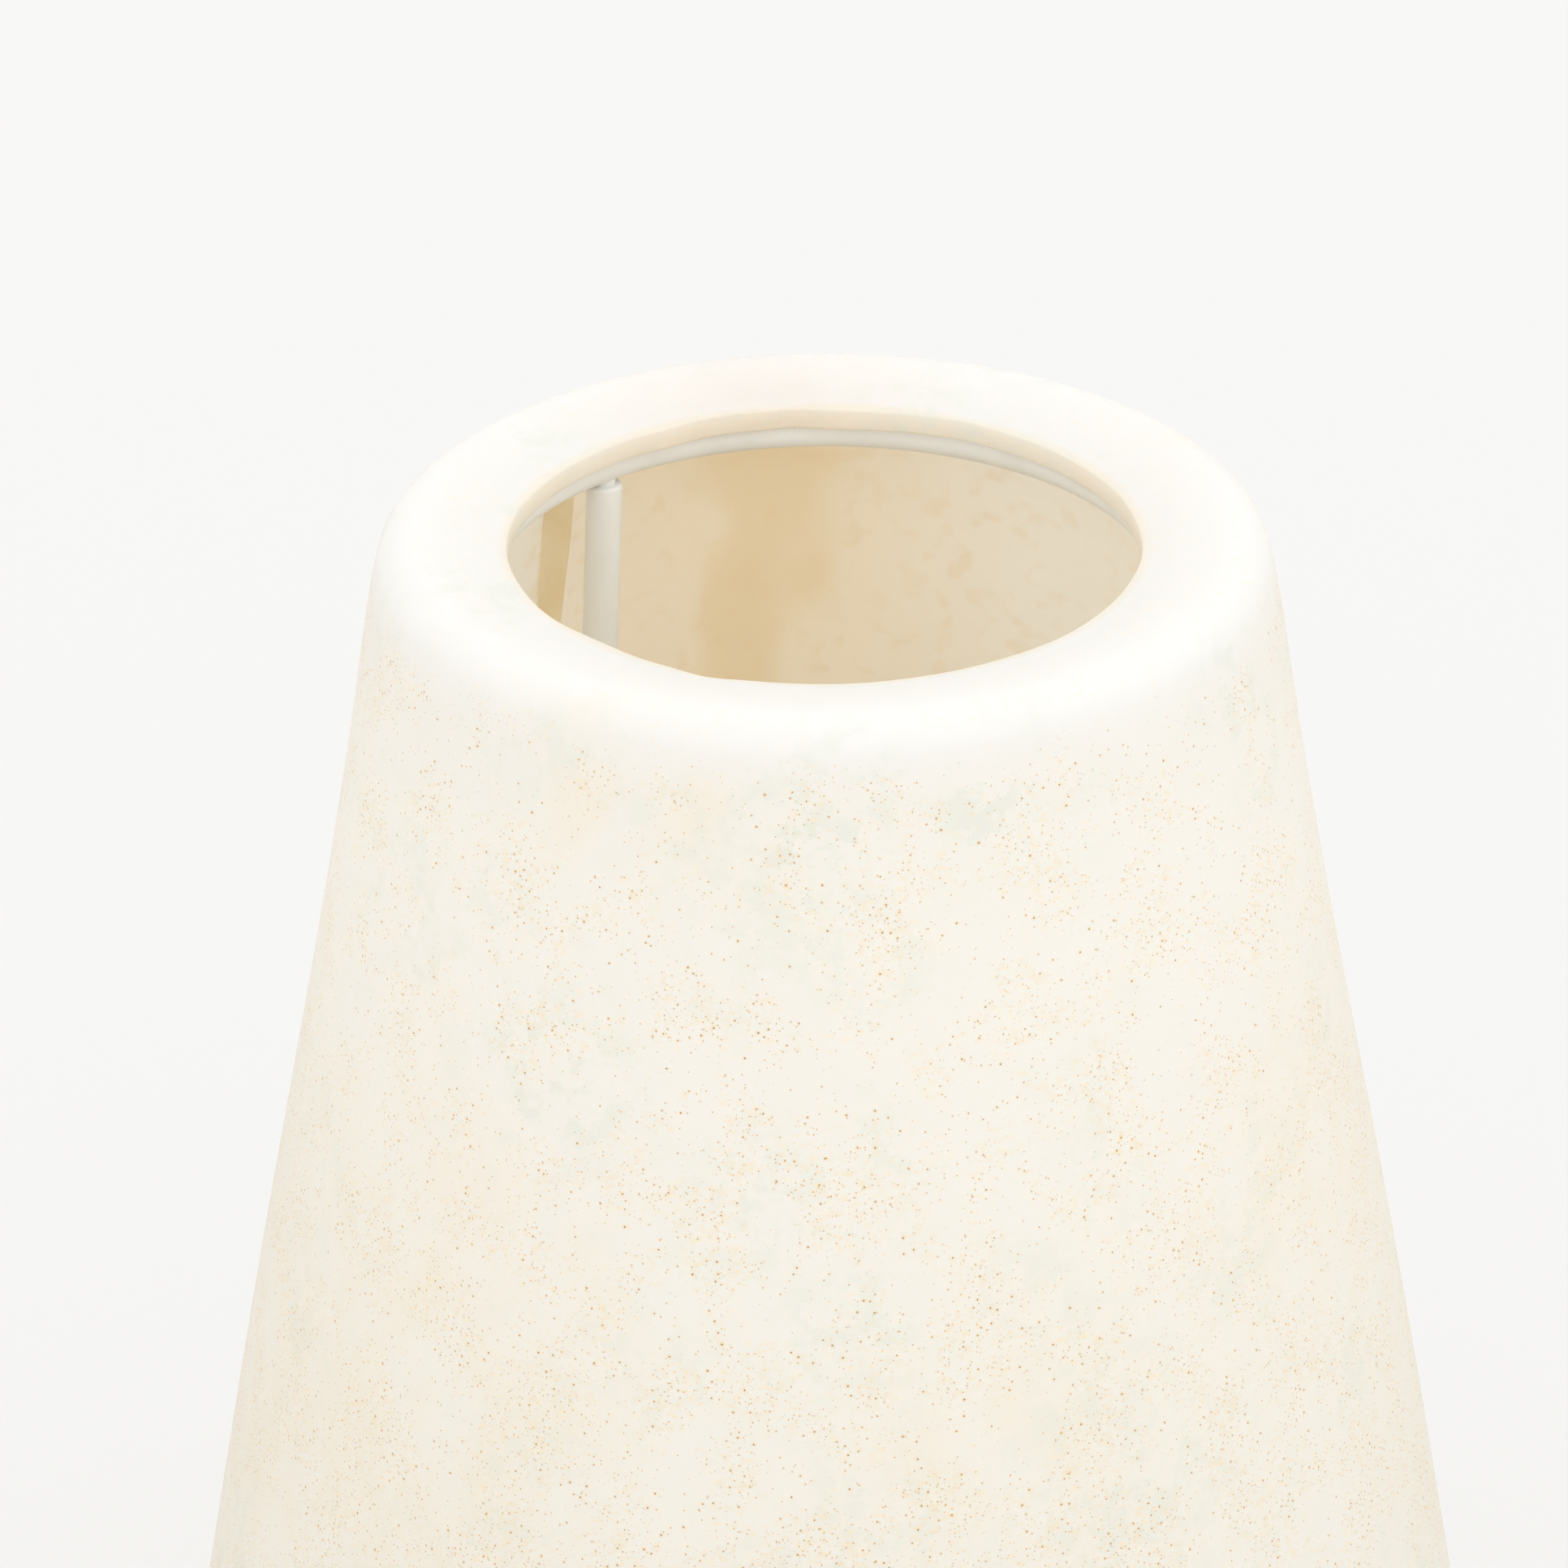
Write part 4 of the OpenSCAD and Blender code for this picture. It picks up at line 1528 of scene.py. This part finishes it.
@dataclass
class Lampholder:
    """The lampholder on its spacer tube.

    Attributes:
        finishes: The shared materials.
        ribs: Number of grip ribs.
        groove: Depth of the grooves between them.
        pitch: Pitch of the sleeve's thread.
    """

    finishes: Finishes
    ribs: int = 36
    groove: float = 0.5 * MM
    pitch: float = 3.6 * MM

    def body(self) -> bpy.types.Object:
        """Builds the body; the grooves are a raised cosine of the angle inside a smooth belt."""
        box = NodeBox.of("lampholder_body")
        low, high, flange = box.low.z, box.high.z, box.radius
        r, bore, columns = flange - 1 * MM, flange - 6 * MM, self.ribs * 8
        corners = np.array([
            [bore, low], [r, low], [r, low + 5 * MM], [r, high - 9 * MM], [r, high - 4 * MM],
            [flange, high - 3 * MM], [flange, high - 0.8 * MM], [flange - 0.8 * MM, high],
            [bore, high]])
        rounded = fillet(corners, 0.4 * MM, 3)
        belt = (np.abs(rounded[:, 0] - r) < 0.01 * MM) & (rounded[:, 1] < high - 4.5 * MM)
        at = np.flatnonzero(belt & (rounded[:, 1] <= low + 5.5 * MM))[-1]
        wall = np.linspace(rounded[at, 1] + 0.4 * MM, high - 9.6 * MM, 26)
        rounded = np.insert(rounded, at + 1, level(r, wall), axis=0)
        z = rounded[:, 1:]
        inside = (smoothstep(z, low + 6 * MM, low + 7 * MM)
                  * smoothstep(-z, -(high - 10 * MM), -(high - 11 * MM)))
        outer = np.abs(rounded[:, :1] - r) < 0.05 * MM
        rib = (0.5 + 0.5 * np.cos(self.ribs * turns(columns))) ** 2
        return add(pressed(rounded, self.groove * inside * outer * rib), "holder_body",
                   self.finishes.holder, Body.STAND, Slot.HOLDER, "lampholder_body")

    def cap(self) -> bpy.types.Object:
        """Builds the domed cap under the body."""
        low, high, r = NodeBox.of("lampholder_cap").span
        cap = turned([[5.05, low], [10.5, low], [11.5, low + 1], [r - 5, low + 5],
                      [r - 2, low + 8], [r - 0.5, low + 12], [r, high], [r - 2.5, high],
                      [r - 3, low + 12.5], [r - 4.5, low + 9.5], [10.5, low + 5],
                      [8.5, low + 9], [5.05, low + 9]], 1.0, 96)
        cap.sharp_angle = math.radians(50)
        return add(cap, "holder_cap", self.finishes.holder, Body.STAND, Slot.HOLDER,
                   "lampholder_cap")

    def sleeve(self) -> bpy.types.Object:
        """Builds the brass sleeve, whose wall is pressed in along a helix."""
        box = NodeBox.of("threaded_liner")
        low, high, r = box.low.z, box.high.z, box.radius
        sheet, floor_r, columns = 0.5 * MM, 9 * MM, 72
        z = np.linspace(low + sheet, high, 90)
        outer, inner = level(r, z), level(r - sheet, z)[::-1]
        floor = np.array([[floor_r, low + sheet], [floor_r, low], [r, low]])
        loop = np.concatenate([outer, inner, floor])
        press = 0.42 * MM * thread_wave(loop[:, 1:], turns(columns), self.pitch, low + 4 * MM,
                                        high - 0.5 * MM)
        wall = loop[:, :1] > r - 0.6 * MM
        return add(pressed(loop, press * wall), "screw_sleeve", self.finishes.brass, Body.STAND,
                   Slot.BRASS, "threaded_liner")

    def make(self) -> list[bpy.types.Object]:
        """Builds the lampholder and dresses its contacts.

        Returns:
            The new pieces.
        """
        dress("terminal_core", self.finishes.ceramic)
        dress("terminal_screws", self.finishes.brass)
        dress("centre_contact", self.finishes.brass)
        return [self.cap(), self.body(), self.sleeve()]


@dataclass
class Bulb:
    """A clear bulb with four light rods.

    Attributes:
        finishes: The shared materials.
        glass: Thickness of the glass.
        cement: Thickness of the cement between the cap and the glass.
        pitch: Pitch of the cap's thread.
        tip: Radius of the small disc that closes the crown.
        rod_turns: Directions of the light rods from the axis, in degrees.
    """

    finishes: Finishes
    glass: float = 0.8 * MM
    cement: float = 0.05 * MM
    pitch: float = 3.6 * MM
    tip: float = 0.25 * MM
    rod_turns: tuple[float, ...] = (45, 135, 225, 315)

    def __post_init__(self) -> None:
        """Reads the bulb's sizes from its CAD nodes."""
        cap, globe = NodeBox.of("bulb_cap"), NodeBox.of("bulb_globe")
        self.cap_r, self.cap_low, self.cap_top = cap.radius, cap.low.z, cap.high.z
        self.globe_r, self.crown, self.neck_low = globe.radius, globe.high.z, globe.low.z
        self.neck_r = self.cap_r - 0.4 * MM

    def globe_line(self, depth: float) -> Array:
        """Returns the glass's outline from the neck to the crown.

        The neck's radius is n + (g - n) * sin(90 degrees * s) ** 1.6 for a share s of the way up,
        and the crown is a quarter circle.

        Args:
            depth: Distance under the outer face.

        Returns:
            Points of radius and height.
        """
        middle = self.crown - self.globe_r
        s = np.linspace(0, 1, 34)
        swell = (self.globe_r - self.neck_r) * np.sin(math.pi / 2 * s) ** 1.6
        neck = level(self.neck_r + swell - depth, self.cap_top + (middle - self.cap_top) * s)
        r = self.globe_r - depth
        t = np.linspace(0, math.acos(self.tip / r), 26)[1:]
        crown = level(r * np.cos(t), middle + r * np.sin(t))
        seat = np.array([[self.neck_r - depth, self.neck_low]])
        return np.concatenate([seat, neck, crown])

    def globe(self) -> bpy.types.Object:
        """Builds the glass: a cup with an inner and an outer face."""
        loop = np.concatenate([self.globe_line(self.glass)[::-1], self.globe_line(0.0)])
        return add(Surface(sweep_round(loop, 96), Ends.CAPPED), "glass_globe",
                   self.finishes.glass, Body.BULB, Slot.BULB_GLASS, "bulb_globe")

    def cap(self) -> bpy.types.Object:
        """Builds the screw cap with its rolled thread and a thin rim."""
        low, top, r = self.cap_low, self.cap_top, self.cap_r
        inside, ledge, columns = self.neck_r + self.cement, self.neck_r - 1.8 * MM, 80
        z = np.linspace(low + 1.2 * MM, top - 0.3 * MM, 100)
        wall = level(r, z)
        taper = np.array([[r - 3.2 * MM, low], [r - 2.2 * MM, low], [r - 1.2 * MM, low + 0.25 * MM],
                          [r - 0.5 * MM, low + 0.7 * MM]])
        back = np.array([[r - 0.1 * MM, top], [inside, top], [inside, self.neck_low],
                         [ledge, self.neck_low], [r - 1.8 * MM, self.neck_low - 1 * MM],
                         [r - 3.2 * MM, low + 3 * MM]])
        loop = np.concatenate([taper, wall, back])
        flat = loop[:, :1] > r - 0.05 * MM
        valley = 1 - thread_wave(loop[:, 1:], turns(columns), self.pitch, low - 2 * MM,
                                 top - 5 * MM)
        belt = (smoothstep(loop[:, 1:], low + 1 * MM, low + 3 * MM)
                * smoothstep(-loop[:, 1:], -(top - 5 * MM), -(top - 8 * MM)))
        return add(pressed(loop, 0.5 * MM * valley * belt * flat), "screw_cap",
                   self.finishes.zinc, Body.BULB, Slot.ZINC, "bulb_cap")

    def mount(self) -> bpy.types.Object:
        """Builds the glass mount: a flared foot drawn up into a slim stalk."""
        foot = NodeBox.of("bulb_mount").low.z
        flare = self.neck_r - self.glass - self.cement
        heights = np.array([0, 0.6, 1.2, 2.2, 3.5, 5, 8, 12, 17, 22, 26, 30, 41, 51.5, 53.2]) * MM
        radii = np.array([flare, flare, flare - 0.3 * MM, flare - 3.2 * MM, 5.9 * MM, 5 * MM,
                          4.1 * MM, 3.6 * MM, 3.4 * MM, 3.2 * MM, 2 * MM, 1.15 * MM, 1 * MM,
                          0.9 * MM, 0.5 * MM])
        s = np.linspace(0, len(heights) - 1, 60)
        order = np.arange(len(heights))
        loop = np.stack([np.interp(s, order, radii), foot + np.interp(s, order, heights)], 1)
        loop[:, 0] = np.convolve(np.pad(loop[:, 0], 2, mode="edge"), np.ones(5) / 5, "valid")
        return add(Surface(sweep_round(loop, 40), Ends.CAPPED), "glass_mount",
                   self.finishes.glass, Body.BULB, Slot.BULB_GLASS, "bulb_mount")

    def light_rods(self) -> bpy.types.Object:
        """Builds the four coated rods, each a straight tube with round ends."""
        low = node_points("bulb_filaments")[:, 2].min()
        lean, r, foot_r, length = math.radians(9), 0.9 * MM, 4.2 * MM, 30
        s = np.concatenate([[0.02, 0.25, 0.6], np.linspace(1, length - 1, 14),
                            length - np.array([0.6, 0.25, 0.02])]) * MM
        radii = np.full(len(s), r)
        radii[:3] = radii[-3:][::-1] = r * np.array([0.35, 0.75, 0.95])
        surfaces = []
        for turn in np.radians(self.rod_turns):
            away = foot_r + s * math.sin(lean)
            path = polar(away, turn, low + r * math.sin(lean) + s * math.cos(lean))
            surfaces.append(Surface(tube_along(path, radii, 14), Ends.CAPPED))
        rods = merge("light_rods", surfaces, [self.finishes.phosphor])
        return attach(rods, Body.BULB, Slot.FILAMENT, "bulb_filaments")

    def wires(self) -> bpy.types.Object:
        """Builds the lead wires from the mount to both ends of the rods."""
        cad = node_points("bulb_filaments")
        low, high = cad[:, 2].min() + 0.4 * MM, cad[:, 2].max() - 0.4 * MM
        t = np.linspace(0, 1, 12)
        surfaces = []
        for turn in np.radians(self.rod_turns):
            for start, end, z_start, z_end in ((0.9, 4.2, low - 3 * MM, low),
                                               (0.6, 8.8, high + 1.4 * MM, high)):
                away = (start + (end - start) * t) * MM
                path = polar(away, turn, z_start + (z_end - z_start) * t ** 2)
                surfaces.append(Surface(tube_along(path, np.full(12, 0.16 * MM), 8), Ends.CAPPED))
        wires = merge("lead_wires", surfaces, [self.finishes.zinc])
        return attach(wires, Body.BULB, Slot.ZINC)

    def foot_pieces(self) -> list[bpy.types.Object]:
        """Builds the dark glass cone and the tip contact under the cap."""
        cone, tip = NodeBox.of("bulb_insulator"), NodeBox.of("bulb_contact")
        r = self.cap_r
        corners = np.array([
            [0.2 * MM, cone.low.z], [4.6 * MM, cone.low.z], [r - 4.2 * MM, self.cap_low],
            [r - 3.35 * MM, self.cap_low + 0.6 * MM], [r - 3.35 * MM, cone.high.z],
            [0.2 * MM, cone.high.z]])
        t = np.linspace(0, 1, 12)
        line = level(*(np.interp(t * 5, np.arange(6), corners[:, i]) for i in (0, 1)))
        t = np.linspace(math.radians(3), math.pi / 2, 12)
        dome = level(tip.radius * np.sin(t) ** 0.8,
                     tip.high.z - (tip.high.z - tip.low.z) * np.cos(t) ** 0.7)
        return [add(Surface(sweep_round(line, 56), Ends.CAPPED), "cap_insulator",
                    self.finishes.cap_glass, Body.BULB, Slot.CAP_GLASS, "bulb_insulator"),
                add(Surface(sweep_round(dome, 40), Ends.CAPPED), "tip_contact",
                    self.finishes.brass, Body.BULB, Slot.BRASS, "bulb_contact")]

    def make(self) -> list[bpy.types.Object]:
        """Builds the bulb.

        Returns:
            The new pieces.
        """
        return [self.globe(), self.cap(), self.mount(), self.light_rods(), self.wires(),
                *self.foot_pieces()]


# --- Studio -------------------------------------------------------------------


@dataclass
class Studio:
    """Pale floor and soft light.

    Attributes:
        floor_size: Side of the floor.
        floor_colour: Colour of the floor.
        sky: Colour of the light all round.
        sky_strength: Strength of the light all round.
        lamp_strength: Strength that the lobe adds at its middle.
        lamp_way: Direction that the lobe's light comes from.
    """

    floor_size: float = 60.0
    floor_colour: Colour = (0.70, 0.68, 0.65)
    sky: Colour = (0.975, 1.0, 1.03)
    sky_strength: float = 1.2
    lamp_strength: float = 0.3
    lamp_way: tuple[float, float, float] = (0.25, -0.4, 0.88)

    def make(self) -> None:
        """Builds the floor, the world and the colour handling."""
        half = self.floor_size / 2
        mesh = bpy.data.meshes.new("floor")
        mesh.from_pydata([(-half, -half, 0), (half, -half, 0), (half, half, 0), (-half, half, 0)],
                         [], [(0, 1, 2, 3)])
        g = Graph.new("floor_paper")
        shader = g.principled(Base_Color=self.floor_colour, Roughness=0.9, Specular_IOR_Level=0.1)
        mesh.materials.append(g.finish(shader.outputs[0]))
        link("floor", mesh)
        self.light()
        view = bpy.context.scene.view_settings
        view.view_transform = "Standard"
        view.look = "None"

    def light(self) -> None:
        """Lights the scene from all round.

        The strength is even, with one wide soft lobe about lamp_way: it grows with the cosine of
        the angle to that way.
        """
        world = bpy.data.worlds.new("studio")
        world.use_nodes = True
        nodes, links = world.node_tree.nodes, world.node_tree.links
        background = nodes["Background"]
        background.inputs["Color"].default_value = (*self.sky, 1.0)
        way = nodes.new("ShaderNodeTexCoord")
        cosine = nodes.new("ShaderNodeVectorMath")
        cosine.operation = "DOT_PRODUCT"
        cosine.inputs[1].default_value = self.lamp_way
        links.new(way.outputs["Generated"], cosine.inputs[0])
        lobe = nodes.new("ShaderNodeMapRange")
        lobe.interpolation_type = "SMOOTHSTEP"
        lobe.inputs["From Min"].default_value = 0.1
        lobe.inputs["To Min"].default_value = self.sky_strength
        lobe.inputs["To Max"].default_value = self.sky_strength + self.lamp_strength
        links.new(cosine.outputs["Value"], lobe.inputs["Value"])
        links.new(lobe.outputs[0], background.inputs["Strength"])
        bpy.context.scene.world = world


@dataclass
class Camera:
    """The viewpoint: in front, a little above, close on the shell's top.

    Attributes:
        elevation: Height of the camera as an angle, seen from the middle of the shell's top.
        distance: Distance from the middle of the shell's top.
        lens: Focal length for a 36 mm wide image.
        right: Place of the top's middle right of the image's middle, as a share of its width.
        up: Place of the top's middle above the image's middle, as a share of its width.
        roll: Turn about the line of sight.
    """

    elevation: float = math.radians(25.52)
    distance: float = 1.034
    lens: float = 150.0
    right: float = 0.0263
    up: float = 0.1654
    roll: float = math.radians(-0.25)

    def make(self, target: Vector) -> bpy.types.Object:
        """Builds the camera.

        The camera looks at the target, is then turned down and to the left until the target
        stands at its place in the image, and is rolled.

        Args:
            target: Middle of the shell's top.

        Returns:
            The camera object.
        """
        data = bpy.data.cameras.new("camera")
        data.lens = self.lens
        data.sensor_width = 36.0
        data.clip_start, data.clip_end = 0.01, 200.0
        camera = bpy.data.objects.new("camera", data)
        bpy.context.scene.collection.objects.link(camera)
        out = Vector((0.0, -math.cos(self.elevation), math.sin(self.elevation)))
        focal = self.lens / 36.0
        tilt = math.atan(self.up / focal)
        pan = math.atan(self.right / math.hypot(focal, self.up))
        look = Matrix.Rotation(math.pi / 2 - self.elevation, 3, "X")
        turn = (look @ Matrix.Rotation(-tilt, 3, "X") @ Matrix.Rotation(pan, 3, "Y")
                @ Matrix.Rotation(self.roll, 3, "Z"))
        camera.matrix_world = Matrix.Translation(target + out * self.distance) @ turn.to_4x4()
        bpy.context.scene.camera = camera
        return camera


def main() -> None:
    """Builds every sub-assembly in order."""
    logging.basicConfig(level=logging.INFO, format="%(name)s: %(message)s")
    shell = Shell()
    Camera().make(Vector((0.0, 0.0, shell.top)))
    Studio().make()
    finishes = Finishes()
    shell.make()
    Stand(finishes).make()
    Lampholder(finishes).make()
    Bulb(finishes).make()


if __name__ == "__main__":
    main()
